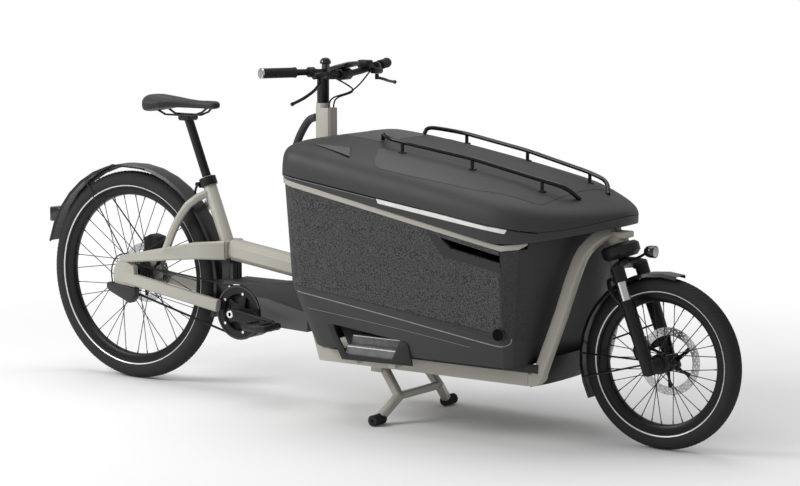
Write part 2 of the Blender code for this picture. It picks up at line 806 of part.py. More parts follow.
def pedal(name, side, carrier):
    """A platform pedal with a cage round its bearing body."""
    x, z = crank_end(side)
    inner = CRANK_INNER_Y + CRANK_THICKNESS + 0.004
    outer = inner + PEDAL_WIDTH
    low, high = sorted((side * inner, side * outer))
    half_l, half_h = PEDAL_LENGTH / 2, PEDAL_HEIGHT / 2
    cage = block(name, (x - half_l, low, z - half_h), (x + half_l, high, z + half_h), 0.006)
    hollow = 0.006
    cutters = []
    for end in (-1, 1):
        ends = sorted((x + end * 0.016, x + end * (half_l - 0.012)))
        opening = block(
            f"{name}_opening_{end}",
            (ends[0], low + 2 * hollow, z - PEDAL_HEIGHT),
            (ends[1], high - 2 * hollow, z + PEDAL_HEIGHT),
        )
        cutters.append(opening)
    bore = (PEDAL_SPINDLE_RADIUS + RUNNING)
    depth = side * (outer - 0.006)
    cutters.append(rod(f"{name}_bore", (x, side * (inner - 0.01), z), (x, depth, z), bore, 12))
    part(name, combine(cage, cutters, "DIFFERENCE"), "plastic", carrier)


def motor():
    """The mid motor with its rear mounting ears."""
    bore = BB_AXLE_RADIUS + RUNNING
    profile = [
        (bore, MOTOR_LEFT_Y),
        (0.050, MOTOR_LEFT_Y),
        (MOTOR_RADIUS, MOTOR_LEFT_Y - 0.016),
        (MOTOR_RADIUS, MOTOR_RIGHT_Y + 0.006),
        (MOTOR_RADIUS - 0.008, MOTOR_RIGHT_Y),
        (bore, MOTOR_RIGHT_Y),
    ]
    body = turned("motor", profile, 20, CRANK_AXIS)
    ears = block("motor_ears", (0.386, -0.033, 0.256), (0.425, MOTOR_LEFT_Y - 0.003, 0.300), 0.003)
    part("motor", combine(body, [ears]), "plastic")


# Rear frame


def seat_axis_x(z):
    """Where the seat tube's axis is at a height."""
    return SEAT_TUBE_FOOT_X - SEAT_TUBE_SLOPE * (z - SEAT_TUBE_FOOT_Z)


def on_seat_axis(z):
    return (seat_axis_x(z), 0.0, z)


def upper_stay(side):
    """The deep upper beam from the dropout to the seat cluster."""
    middle = STAY_INNER_Y + STAY_WIDTH / 2
    points = [
        (0.0, side * middle, UPPER_STAY_REAR_Z),
        (UPPER_STAY_BEND_X, side * middle, UPPER_STAY_BEND_Z),
        (BEAM_REAR_X - 0.008, side * UPPER_STAY_FRONT_Y, BEAM_REAR_Z),
    ]
    depths = (UPPER_STAY_REAR_HEIGHT, UPPER_STAY_FRONT_HEIGHT, UPPER_STAY_FRONT_HEIGHT + 0.006)
    return bent_bar(f"upper_stay_{side}", points, (0, 1, 0), (STAY_WIDTH,) * 3, depths, 0.005)


def lower_stay(side):
    """The straight lower beam beside the wheel."""
    middle = side * (STAY_INNER_Y + STAY_WIDTH / 2)
    rear_z = REAR_RADIUS
    points = [(0.015, middle, rear_z), (STAY_FRONT_X, middle, rear_z - LOWER_STAY_DROP)]
    heights = (LOWER_STAY_HEIGHT,) * 2
    return bent_bar(f"lower_stay_{side}", points, (0, 1, 0), (STAY_WIDTH,) * 2, heights, 0.005)


def dropout(side):
    """The plate that holds the rear axle."""
    z = REAR_RADIUS
    outline = [
        (-0.016, z + 0.050),
        (-0.031, z + 0.020),
        (-0.031, z - 0.012),
        (-0.012, z - 0.024),
        (0.062, z - 0.030),
        (0.058, z + 0.040),
        (0.002, z + 0.062),
    ]
    low, high = sorted((side * (STAY_INNER_Y + 0.0004), side * (STAY_INNER_Y + STAY_WIDTH - 0.003)))
    return side_plate(f"dropout_{side}", [outline], low, high)


def seat_stay(side):
    """The curved tube from the upper beam to the top of the seat tube."""
    middle = STAY_INNER_Y + STAY_WIDTH / 2
    points = [
        (0.190, side * middle, 0.452),
        (0.226, side * (middle - 0.004), 0.535),
        (0.262, side * 0.058, 0.596),
        (0.292, side * 0.050, 0.631),
        (0.326, side * 0.014, 0.652),
    ]
    return tube(f"seat_stay_{side}", rounded_route(points, 0.02, 1), SEAT_STAY_RADIUS, 1)


def motor_lug(side):
    """The lug between a lower stay and the motor's ear. The right one passes inside the belt's loop."""
    face = MOTOR_LEFT_Y - 0.003 if side > 0 else 0.033
    low, high = sorted((side * (face + SEAT), side * (STAY_INNER_Y + 0.004)))
    return block(f"motor_lug_{side}", (0.386, low, 0.283), (0.3945, high, 0.300))


def rear_frame():
    """Stays, dropouts with the axle, seat cluster and seat tube, welded."""
    foot = on_seat_axis(SEAT_TUBE_FOOT_Z)
    top = on_seat_axis(SEAT_TUBE_TOP_Z)
    body = rod("rear_frame", foot, top, SEAT_TUBE_RADIUS, 16)
    half_y = UPPER_STAY_FRONT_Y + 0.006
    low_z, high_z = BEAM_REAR_Z - 0.026, BEAM_REAR_Z + 0.029
    yoke = block("yoke", (0.389, -half_y, low_z), (BEAM_REAR_X - SEAT - 0.0002, half_y, high_z))
    reach = STAY_INNER_Y + 0.010
    axle = rod("rear_axle", (0, -reach, REAR_RADIUS), (0, reach, REAR_RADIUS), AXLE_RADIUS, 12)
    pieces = [yoke]
    for side in SIDES:
        pieces += [upper_stay(side), lower_stay(side), dropout(side), seat_stay(side), motor_lug(side)]
    pieces.append(axle)
    bore_top = on_seat_axis(SEAT_TUBE_TOP_Z + 0.01)
    bore = rod("seat_bore", on_seat_axis(0.510), bore_top, SEAT_POST_RADIUS + RUNNING, 16)
    combine(body, pieces)
    part("rear_frame", combine(body, [bore], "DIFFERENCE"), "frame_paint")


def beam_z(x):
    """Height of the main beam's axis."""
    share = (x - BEAM_REAR_X) / (STEER_AXIS_X - BEAM_REAR_X)
    return BEAM_REAR_Z + share * (BEAM_FRONT_Z - BEAM_REAR_Z)


def main_beam():
    """The bevelled beam from the seat cluster to the steering column."""
    end_x = STEER_AXIS_X - COLUMN_RADIUS - SEAT
    loops = []
    for x, width in ((BEAM_REAR_X, BEAM_WIDTH), (BEAM_TAPER_X, BEAM_WIDTH), (end_x, 2 * COLUMN_RADIUS)):
        section = bar_section(width, BEAM_HEIGHT, BEAM_CHAMFER)
        loops.append([Vector((x, y, beam_z(x) + z)) for y, z in section])
    part("main_beam", skin("main_beam", loops), "frame_paint")


def steering_column():
    """The upright column: round behind, with the hose duct's flat sides in front, and the headset cap."""
    radius = COLUMN_RADIUS
    back = circle(radius, 9, (STEER_AXIS_X, 0.0), math.pi / 2, math.pi)
    chamfer = 0.007
    front = [
        (COLUMN_FRONT_X - chamfer, -radius),
        (COLUMN_FRONT_X, chamfer - radius),
        (COLUMN_FRONT_X, radius - chamfer),
        (COLUMN_FRONT_X - chamfer, radius),
    ]
    lift = Matrix.Translation((0, 0, (COLUMN_TOP_Z + COLUMN_FOOT_Z) / 2))
    body = plate("steering_column", [back + front], COLUMN_TOP_Z - COLUMN_FOOT_Z, lift)
    axis_top = COLUMN_TOP_Z + STEM_CAP_HEIGHT
    cap = rod("headset_cap", (STEER_AXIS_X, 0, COLUMN_TOP_Z - 0.005), (STEER_AXIS_X, 0, axis_top), 0.0225, 16)
    rear_face = BOX_REAR_X - RAIL_PROUD - SEAT
    rail_z = rail_line(BOX_REAR_X)
    bracket = block("box_bracket", (0.825, -0.020, rail_z - 0.03), (rear_face, 0.020, rail_z + 0.008), 0.003)
    bore = rod("stem_bore", (STEER_AXIS_X, 0, 0.86), (STEER_AXIS_X, 0, 1.0), 0.0125 + RUNNING, 16)
    combine(body, [cap, bracket])
    part("steering_column", combine(body, [bore], "DIFFERENCE"), "frame_paint")


def lifting_handle():
    """The grab handle behind the column, for lifting the bike onto its stand."""
    face = STEER_AXIS_X - COLUMN_RADIUS
    points = [
        (face + 0.012, 0, 0.925),
        (0.735, 0, 0.915),
        (0.690, 0, 0.845),
        (0.668, 0, 0.760),
        (0.672, 0, 0.660),
        (0.705, 0, 0.590),
        (face + 0.012, 0, 0.560),
    ]
    body = tube("lifting_handle", rounded_route(points, 0.035, 1), 0.0125, 1)
    column = rod("column_clearance", (STEER_AXIS_X, 0, 0.5), (STEER_AXIS_X, 0, 1.0), COLUMN_RADIUS + SEAT, 48)
    part("lifting_handle", combine(body, [column], "DIFFERENCE"), "cover")


def cover_top_z(x):
    """The upper edge of the battery cover in side view."""
    return 0.376 + max(0.0, x - 0.600) * 0.085


def battery_cover():
    """The cover over motor, cables and battery, with a ribbed neck up to the seat cluster."""
    end_x = STEER_AXIS_X - COLUMN_RADIUS - SEAT
    outline = [
        (0.424, 0.364),
        (0.432, cover_top_z(0.43)),
        (0.600, cover_top_z(0.60)),
        (end_x, cover_top_z(end_x)),
        (end_x, 0.300),
        (0.600, 0.334),
        (0.560, 0.334),
        (0.500, 0.364),
    ]
    body = side_plate("battery_cover", [outline], -0.061, 0.061)
    clearance = rod("guard_clearance", (BB_X, -0.2, BB_Z), (BB_X, 0.2, BB_Z), GUARD_RADIUS + 0.003, 40)
    neck_top = BEAM_REAR_Z - 0.026 - SEAT
    neck = block("cable_neck", (0.394, -0.026, 0.366), (0.428, 0.026, neck_top), 0.003)
    ribs = []
    for y in (-0.020, -0.007, 0.007, 0.020):
        ribs.append(block(f"neck_rib_{y}", (0.420, y - 0.004, 0.37), (0.440, y + 0.004, 0.430)))
    combine(body, [neck] + ribs)
    part("battery_cover", combine(body, [clearance], "DIFFERENCE"), "cover")


def battery():
    """The battery slid in under the cover, with its lighter side face."""
    end_x = STEER_AXIS_X - COLUMN_RADIUS - SEAT
    outline = [
        (0.560, 0.334 - SEAT),
        (0.600, 0.334 - SEAT),
        (end_x, 0.300 - SEAT),
        (end_x, 0.236),
        (0.665, 0.240),
        (0.560, 0.252),
    ]
    body = side_plate("battery", [outline], -0.058, 0.058)
    clearance = rod("battery_clearance", (BB_X, -0.2, BB_Z), (BB_X, 0.2, BB_Z), GUARD_RADIUS + 0.003, 40)
    part("battery", combine(body, [clearance], "DIFFERENCE"), "battery")


def shift_box():
    """The gear hub's actuator box under the right dropout, with its cable."""
    z = REAR_RADIUS
    outline = [
        (-0.056, z - 0.020),
        (-0.036, z - 0.0243),
        (-0.012, z - 0.0243),
        (0.070, z - 0.0340),
        (0.066, z - 0.066),
        (0.046, z - 0.086),
        (-0.042, z - 0.052),
        (-0.058, z - 0.040),
    ]
    outer = -(STAY_INNER_Y + STAY_WIDTH) - 0.006
    body = soften(side_plate("shift_box", [outline], outer, -STAY_INNER_Y), 0.004)
    y = -0.072
    points = [
        (-0.040, y, z - 0.030),
        (-0.047, y, z - 0.005),
        (-0.047, y, z + 0.030),
        (-0.028, y + 0.003, z + 0.068),
        (0.002, y + 0.007, UPPER_STAY_REAR_Z + 0.0172),
        (0.016, y + 0.007, UPPER_STAY_REAR_Z + 0.0186),
    ]
    cable = tube("shift_cable", rounded_route(points, 0.02, 2), 0.0026, 1)
    part("shift_box", combine(body, [cable]), "plastic")


# Fenders, lights and brakes


def fender_band(name, radius, width, start, end, centre, steps):
    """An arched fender with folded edges, from one angle to another, up from the forward direction."""
    half = width / 2
    profile = [
        (radius - FENDER_LIP, half),
        (radius - 0.002, half - 0.003),
        (radius, 0.0),
        (radius - 0.002, 0.003 - half),
        (radius - FENDER_LIP, -half),
    ]
    return turned(
        name, profile, steps, centre, closed=False, sweep=end - start, wall=FENDER_THICKNESS, tilt=-end
    )


def polar(radius, angle, y, centre):
    """A point at a radius and angle about an axle, in side view."""
    return (centre[0] + radius * math.cos(angle), y, centre[1] + radius * math.sin(angle))


def rear_fender():
    """The rear fender with its wire stays and the upper wire loop."""
    centre = (0.0, REAR_RADIUS)
    body = fender_band(
        "rear_fender", REAR_FENDER_RADIUS, REAR_FENDER_WIDTH, REAR_FENDER_START, REAR_FENDER_END,
        REAR_AXLE, 18,
    )
    pieces = []
    lip = REAR_FENDER_WIDTH / 2
    seat = STAY_INNER_Y + STAY_WIDTH / 2
    for side in SIDES:
        anchor = polar(REAR_FENDER_RADIUS - 0.008, math.radians(122), side * lip, centre)
        foot = (0.010, side * (seat + 0.003), UPPER_STAY_REAR_Z + 0.0180)
        if side > 0:
            foot = (-0.006, side * (seat + 0.003), UPPER_STAY_REAR_Z + 0.0130)
        pieces.append(tube(f"fender_stay_{side}", [anchor, foot], FENDER_STAY_RADIUS, 0))
    hoop = [
        polar(REAR_FENDER_RADIUS - 0.008, math.radians(120), -lip, centre),
        polar(REAR_FENDER_RADIUS - 0.002, math.radians(100), -lip - 0.004, centre),
        polar(REAR_FENDER_RADIUS - 0.008, math.radians(79), -lip, centre),
    ]
    pieces.append(tube("fender_wire", hoop, FENDER_STAY_RADIUS, 0))
    neck = block("fender_bolt", (0.370, -0.010, 0.284), (0.3857, 0.010, 0.306))
    pieces.append(neck)
    part("rear_fender", combine(body, pieces), "plastic")


def tail_light():
    """The tail light on the rear fender."""
    low = (-TAIL_LIGHT_REACH, -0.024, 0.512)
    high = (-0.312, 0.024, 0.562)
    body = block("tail_light", low, high, 0.004)
    surface = rod(
        "fender_surface", (0, -0.1, REAR_RADIUS), (0, 0.1, REAR_RADIUS), REAR_FENDER_RADIUS + SEAT, 64
    )
    part("tail_light", combine(body, [surface], "DIFFERENCE"), "red_lens")


def caliper(name, outline, rotor_y, slot_outline, low_y, high_y, place, look, carrier=None, others=()):
    """A brake caliper that straddles its rotor."""
    body = plate(name, [outline], high_y - low_y, place @ side_view(low_y, high_y))
    slot_low, slot_high = rotor_y - 0.0022, rotor_y + 0.0022
    slot = plate(name + "_slot", [slot_outline], slot_high - slot_low, place @ side_view(slot_low, slot_high))
    soften(body, 0.002)
    combine(body, others)
    part(name, combine(body, [slot], "DIFFERENCE"), look, carrier)


def rear_caliper():
    """The rear caliper on the left upper beam."""
    z = REAR_RADIUS
    outline = [(0.006, z + 0.0755), (0.074, z + 0.090), (0.070, z + 0.128), (0.034, z + 0.136), (0.006, z + 0.122)]
    slot = [(-0.05, z + 0.05), (0.09, z + 0.05), (0.09, z + 0.1035), (-0.05, z + 0.1035)]
    identity = Matrix.Identity(4)
    caliper("rear_caliper", outline, REAR_ROTOR_Y, slot, 0.034, 0.078, identity, "black_metal")


# Box


def rear_half(rear, half):
    """The plan's right half from the rear middle to the end of the rear corner."""
    radius = BOX_REAR_RADIUS
    corner = circle(radius, 5, (rear + radius, radius - half), math.pi, math.pi / 2)
    return [(rear, 0.0)] + corner


def side_points(start, end, half):
    """Three points along the straight side."""
    return [(start + (end - start) * share, -half) for share in (0.25, 0.5, 0.75)]


def body_plan(rear, front, half, corner_x):
    """Right half of the box's plan below the collar, with a flat front."""
    width = BOX_FRONT_RADIUS
    points = rear_half(rear, half) + side_points(rear + BOX_REAR_RADIUS, corner_x, half)
    for step in range(4):
        angle = math.pi / 2 * step / 3
        x = corner_x + (front - corner_x) * math.sin(angle)
        points.append((x, width - half - width * math.cos(angle)))
    return points + [(front, (width - half) / 2), (front, 0.0)]


def nose_plan(rear, nose, half):
    """Right half of the plan of collar and lid, with a round nose."""
    points = rear_half(rear, half) + side_points(rear + BOX_REAR_RADIUS, NOSE_START_X, half)
    for step in range(6):
        angle = math.pi / 2 * step / 5
        x = NOSE_START_X + (nose - NOSE_START_X) * math.sin(angle) ** (2 / NOSE_POWER)
        points.append((x, -half * max(math.cos(angle), 0.0) ** (2 / NOSE_POWER)))
    points[-1] = (nose, 0.0)
    return points


HALF_COUNT = 15
LOOP_COUNT = 2 * (HALF_COUNT - 1)


def around(half_points, station):
    """A point of the full plan. Stations run from the rear middle, down the right side and back."""
    station = station % LOOP_COUNT
    mirrored = station > HALF_COUNT - 1
    if mirrored:
        station = LOOP_COUNT - station
    first = min(int(station), HALF_COUNT - 2)
    share = station - first
    (xa, ya), (xb, yb) = half_points[first], half_points[first + 1]
    x, y = xa + (xb - xa) * share, ya + (yb - ya) * share
    return (x, -y) if mirrored else (x, y)


def tuck(z):
    """How far the walls have drawn in at a height, from 0 at the collar to 1 at the foot."""
    return (BOX_TOP_Z - z) / (BOX_TOP_Z - BOX_FOOT_Z)


def rear_wall_x(z):
    """Where the rear wall stands at a height: nearly upright, and drawn in under its kink."""
    above = min(1.0, (BOX_TOP_Z - z) / (BOX_TOP_Z - BOX_KINK_Z))
    below = max(0.0, (BOX_KINK_Z - z) / (BOX_KINK_Z - BOX_FOOT_Z))
    return BOX_REAR_X + BOX_REAR_TUCK * above + BOX_REAR_UNDERCUT * below


def wall_point(station, z, inset=0.0):
    """A point of the box's outer wall at a height, moved inwards by an inset."""
    share = tuck(z)
    rear = rear_wall_x(z) + inset
    half = BOX_HALF_WIDTH - BOX_SIDE_TUCK * share - inset
    front = BOX_FRONT_X - BOX_FRONT_TUCK * share - inset
    x, y = around(body_plan(rear, front, half, BOX_CORNER_X - inset), station)
    return Vector((x, y, z))


def nose_point(station, z, inset=0.0):
    """A point of the collar's or lid's outer side, moved inwards by an inset."""
    plan = nose_plan(COLLAR_REAR_X + inset, BOX_NOSE_X - inset, COLLAR_HALF_WIDTH - inset)
    x, y = around(plan, station)
    return Vector((x, y, z))


def nominal_x(station):
    return wall_point(station, BOX_TOP_Z).x


def seam_line(x):
    """Height of the seam between lid and collar."""
    fall = SEAM_START_Z - SEAM_SLOPE * (min(x, SEAM_LOW_X) - SEAM_START_X)
    past = max(0.0, x - SEAM_LOW_X) / (BOX_NOSE_X - SEAM_LOW_X)
    return fall + SEAM_NOSE_RISE * min(past, 1.0) ** 1.5


def collar_foot(x):
    """Height of the collar's lower edge: straight over the rail, then up to the nose."""
    straight = RAIL_START_Z - RAIL_SLOPE * (min(x, RAIL_END_X) - RAIL_START_X)
    foot = straight + RAIL_HALF_HEIGHT + RAIL_GAP
    share = min(1.0, max(0.0, x - RAIL_END_X) / (BOX_NOSE_X - 0.01 - RAIL_END_X))
    return foot + (COLLAR_NOSE_Z - foot) * share**COLLAR_RISE_POWER


def rail_line(x):
    """Height of the middle of the beige rail round the box."""
    return collar_foot(x) - RAIL_GAP - RAIL_HALF_HEIGHT


def under_rail(x):
    """Height of what ends under the rail."""
    return rail_line(x) - RAIL_HALF_HEIGHT - RAIL_GAP


def panel_foot(x):
    """Height of the textured panel's lower edge."""
    return PANEL_FOOT_Z - PANEL_FOOT_SLOPE * (x - PANEL_FOOT_X)


def band(name, stations, section, ring):
    """A solid that follows the box's plan. section gives the cross-section at a station."""
    return skin(name, [section(station) for station in stations], ring)


def window_cutter(side):
    """The slanted hand window under the rail."""
    outline = [(1.452, 0.622), (1.492, 0.589), (1.692, 0.552), (1.699, 0.574)]
    low, high = sorted((side * 0.25, side * 0.36))
    return side_plate(f"window_{side}", [outline], low, high)


def box_tub(windows):
    """The inner tub, open at the top, stepped in at its foot for the steps and the floor frame."""
    outer = SKIN_THICKNESS + SKIN_GAP
    stations = range(LOOP_COUNT)

    def ring(inset, height):
        return [wall_point(s, height(nominal_x(s)), inset) for s in stations]

    def top(x):
        return collar_foot(x) - SEAT

    def middle(x):
        return (TUB_STEP_Z + 0.03 + top(x)) / 2

    base = FLOOR_TOP_Z + SEAT
    low, step, floor = (lambda x: base), (lambda x: TUB_STEP_Z), (lambda x: base + 0.006)
    shelf = TUB_STEP_Z + 0.018
    rings = [
        ring(TUB_LOWER_INSET, low),
        ring(TUB_LOWER_INSET, step),
        ring(outer, lambda x: shelf),
        ring(outer, middle),
        ring(outer, top),
        ring(outer + TUB_WALL, top),
        ring(outer + TUB_WALL, middle),
        ring(outer + TUB_WALL, lambda x: shelf + 0.004),
        ring(TUB_LOWER_INSET + TUB_WALL, lambda x: TUB_STEP_Z + 0.004),
        ring(TUB_LOWER_INSET + TUB_WALL, floor),
    ]
    body = skin("box_tub", rings)
    part("box_tub", combine(body, windows, "DIFFERENCE"), "shell")


def box_collar():
    """The collar between lid and body, which grows into the nose over the steering head."""
    inner = SKIN_THICKNESS + SKIN_GAP + TUB_WALL

    def section(station):
        outer_x = nose_point(station, 0.0).x
        inner_x = wall_point(station, BOX_TOP_Z, inner).x
        top = seam_line(outer_x) - SEAM_GAP
        foot = collar_foot(outer_x)
        inner_foot = collar_foot(nominal_x(station)) + SEAT
        if nominal_x(station) > BOX_FRONT_X - 0.01:
            inner_foot = COLLAR_NOSE_Z + 0.006
        inner_top = max(seam_line(inner_x) - SEAM_GAP, inner_foot + 0.012)
        return [
            nose_point(station, top),
            nose_point(station, foot + 0.004),
            nose_point(station, foot, 0.003),
            wall_point(station, inner_foot, -0.002),
            wall_point(station, inner_foot, inner),
            wall_point(station, inner_top - 0.002, inner),
            nose_point(station, top, 0.010),
        ]

    part("box_collar", band("box_collar", range(LOOP_COUNT), section, True), "shell")


RAIL_STATIONS = (0, 1, 2, 3, 4, 5, 6, 7, 8, 9, 10, 10.4)


def upper_rail():
    """The beige rail that runs round the box from one side to the other behind it."""
    stations = [-s for s in reversed(RAIL_STATIONS[1:])] + list(RAIL_STATIONS)

    def section(station):
        middle = rail_line(nominal_x(station))
        half = RAIL_HALF_HEIGHT * (0.45 if abs(station) > 10 else 1.0)
        middle += RAIL_HALF_HEIGHT - half
        proud = -RAIL_PROUD if abs(station) < 10 else -0.0005
        return [
            wall_point(station, middle + half, proud + 0.002),
            wall_point(station, middle + half - 0.002, proud),
            wall_point(station, middle - half + 0.002, proud),
            wall_point(station, middle - half, proud + 0.002),
            wall_point(station, middle - half, SKIN_THICKNESS),
            wall_point(station, middle + half, SKIN_THICKNESS),
        ]

    part("upper_rail", band("upper_rail", stations, section, False), "frame_paint")


def side_panel(name, side, window):
    """The textured side panel, wrapped a little way round the rear corner."""
    stations = [2.5, 3, 4, 5, 6, 7, 8, 8.985]
    if side > 0:
        stations = [LOOP_COUNT - s for s in stations]

    def section(station):
        x = nominal_x(station)
        heights = (under_rail(x), panel_foot(x))
        outer = [wall_point(station, z) for z in heights]
        return outer + [wall_point(station, z, SKIN_THICKNESS) for z in reversed(heights)]

    part(name, combine(band(name, stations, section, False), [window], "DIFFERENCE"), "panel")


def step_cutter(side):
    """The recess of the step in the lower body."""
    outline = [(STEP_REAR_X, 0.320), (STEP_FRONT_X, 0.292), (STEP_FRONT_X - 0.01, 0.23), (STEP_REAR_X + 0.04, 0.23)]
    low, high = sorted((side * 0.24, side * 0.36))
    return side_plate(f"step_{side}", [outline], low, high)


LOWER_STATIONS = (0, 1, 2, 2.44, 2.47, 3, 4, 5, 6, 7, 8, 8.995, 9.02, 10, 10.42, 10.46, 11, 12, 13)


def lower_body():
    """The plain lower body: full height in front and behind, up to the panel's foot on the sides."""
    stations = list(LOWER_STATIONS) + [14] + [LOOP_COUNT - s for s in reversed(LOWER_STATIONS[1:])]

    def top_of(station):
        x = nominal_x(station)
        place = min(station, LOOP_COUNT - station)
        if 2.45 < place < 9.0:
            return panel_foot(x) - RAIL_GAP
        return under_rail(x) if place < 10.44 else collar_foot(x) - RAIL_GAP

    def section(station):
        top = top_of(station)
        heights = (top, min(BOX_KINK_Z, top - 0.02), BOX_FOOT_Z)
        outer = [wall_point(station, z) for z in heights]
        return outer + [wall_point(station, z, SKIN_THICKNESS) for z in reversed(heights)]

    body = band("lower_body", stations, section, True)
    part("lower_body", combine(body, [step_cutter(side) for side in SIDES], "DIFFERENCE"), "shell")


# Lid


def crown_line(x):
    """Height of the lid's middle along its length."""
    past = max(0.0, x - CROWN_START_X)
    return CROWN_Z - CROWN_SLOPE * past - CROWN_DROP * past**2


def lid_point(station, scale, rise, lift):
    """A point of the lid's skin: the seam outline drawn towards the spine and raised to the crown."""
    edge = nose_point(station, 0.0)
    spine = min(max(edge.x, LID_SPINE_REAR_X), LID_SPINE_FRONT_X)
    x = spine + (edge.x - spine) * scale
    seam = seam_line(edge.x)
    share = min(max((x - COLLAR_REAR_X) / 0.30, 0.0), 1.0)
    height = rise ** (1 - LID_REAR_SQUARENESS * (1 - share))
    z = seam + height * (crown_line(x) - seam) + lift
    return Vector((x, edge.y * scale, z))


def lid_rings(lift):
    return [[lid_point(s, scale, rise, lift) for s in range(LOOP_COUNT)] for scale, rise in LID_SHOULDERS]


def lid_surface(shape, lift):
    """Rows of faces from the seam to the inner ring, and a strip across the middle."""
    rows = [[shape.verts.new(point) for point in ring] for ring in lid_rings(lift)]
    for row, ahead in zip(rows, rows[1:]):
        for i in range(LOOP_COUNT):
            j = (i + 1) % LOOP_COUNT
            shape.faces.new((row[i], row[j], ahead[j], ahead[i]))
    inner = rows[-1]
    spine = [inner[0]]
    for i in range(1, HALF_COUNT - 1):
        middle = (inner[i].co + inner[LOOP_COUNT - i].co) / 2
        middle.z = crown_line(middle.x) + lift
        spine.append(shape.verts.new(middle))
    spine.append(inner[HALF_COUNT - 1])
    for i in range(HALF_COUNT - 1):
        mirror_i, mirror_j = inner[-i % LOOP_COUNT], inner[-(i + 1) % LOOP_COUNT]
        fill(shape, (inner[i], inner[i + 1], spine[i + 1], spine[i]))
        fill(shape, (mirror_j, mirror_i, spine[i], spine[i + 1]))
    return rows[0]


def fill(shape, corners):
    """A face through corners, of which two may be the same point."""
    unique = []
    for corner in corners:
        if corner not in unique:
            unique.append(corner)
    shape.faces.new(unique)


def lid_form(name, lift):
    """The lid as a full solid, for cutting what stands on it."""
    shape = bmesh.new()
    edge = lid_surface(shape, lift)
    shape.faces.new(edge)
    return close(shape, name)


def lid(carrier):
    """The lid's moulded shell."""
    shape = bmesh.new()
    lid_surface(shape, 0.0)
    bmesh.ops.recalc_face_normals(shape, faces=shape.faces)
    body = close(shape, "lid")
    wall = body.modifiers.new("wall", "SOLIDIFY")
    wall.thickness = LID_WALL
    wall.offset = -1
    part("lid", body, "shell", carrier)


def lid_rail(name, side, carrier):
    """A luggage rail on three posts, whose ends turn down into the lid."""
    heights = [lid_height(x, y) + LID_RAIL_LIFT for x, y in zip(LID_POST_X, LID_POST_Y)]
    posts = list(zip(LID_POST_X, LID_POST_Y, heights))
    route = [
        (1.106, 0.112, lid_height(1.106, 0.112) - 0.006),
        (1.116, 0.122, lid_height(1.116, 0.122) + 0.010),
        (1.165, 0.168, heights[0] + 0.009),
        *posts,
        (1.772, 0.112, lid_height(1.772, 0.112) + LID_RAIL_LIFT * 0.75),
        (1.800, 0.082, lid_height(1.800, 0.082) - 0.010),
    ]
    route = [(x, side * y, z) for x, y, z in route]
    body = tube(name, route[:1] + rounded_route(route[1:4], 0.020, 1) + route[4:], LID_RAIL_RADIUS, 1)
    pieces = []
    for x, y, z in posts:
        foot = lid_height(x, y)
        pieces.append(rod(f"{name}_post", (x, side * y, foot - 0.008), (x, side * y, z), 0.0055, 6))
        pieces.append(rod(f"{name}_foot", (x, side * y, foot - 0.008), (x, side * y, foot + 0.003), 0.012, 8))
    combine(body, pieces)
    part(name, combine(body, [lid_form(name + "_seat", SEAT)], "DIFFERENCE"), "gloss_black", carrier)


def lid_height(x, y):
    """Height of the lid's skin over a point of the plan, on the straight part of its sides."""
    scale = abs(y) / COLLAR_HALF_WIDTH
    pairs = list(LID_SHOULDERS) + [(0.0, 1.0)]
    for (outer, low), (inner, high) in zip(pairs, pairs[1:]):
        if inner <= scale <= outer:
            rise = low + (high - low) * (outer - scale) / (outer - inner)
            seam = seam_line(min(x, SEAM_LOW_X))
            return seam + rise * (crown_line(x) - seam)
    return crown_line(x)


# Floor frame, hoop and stand


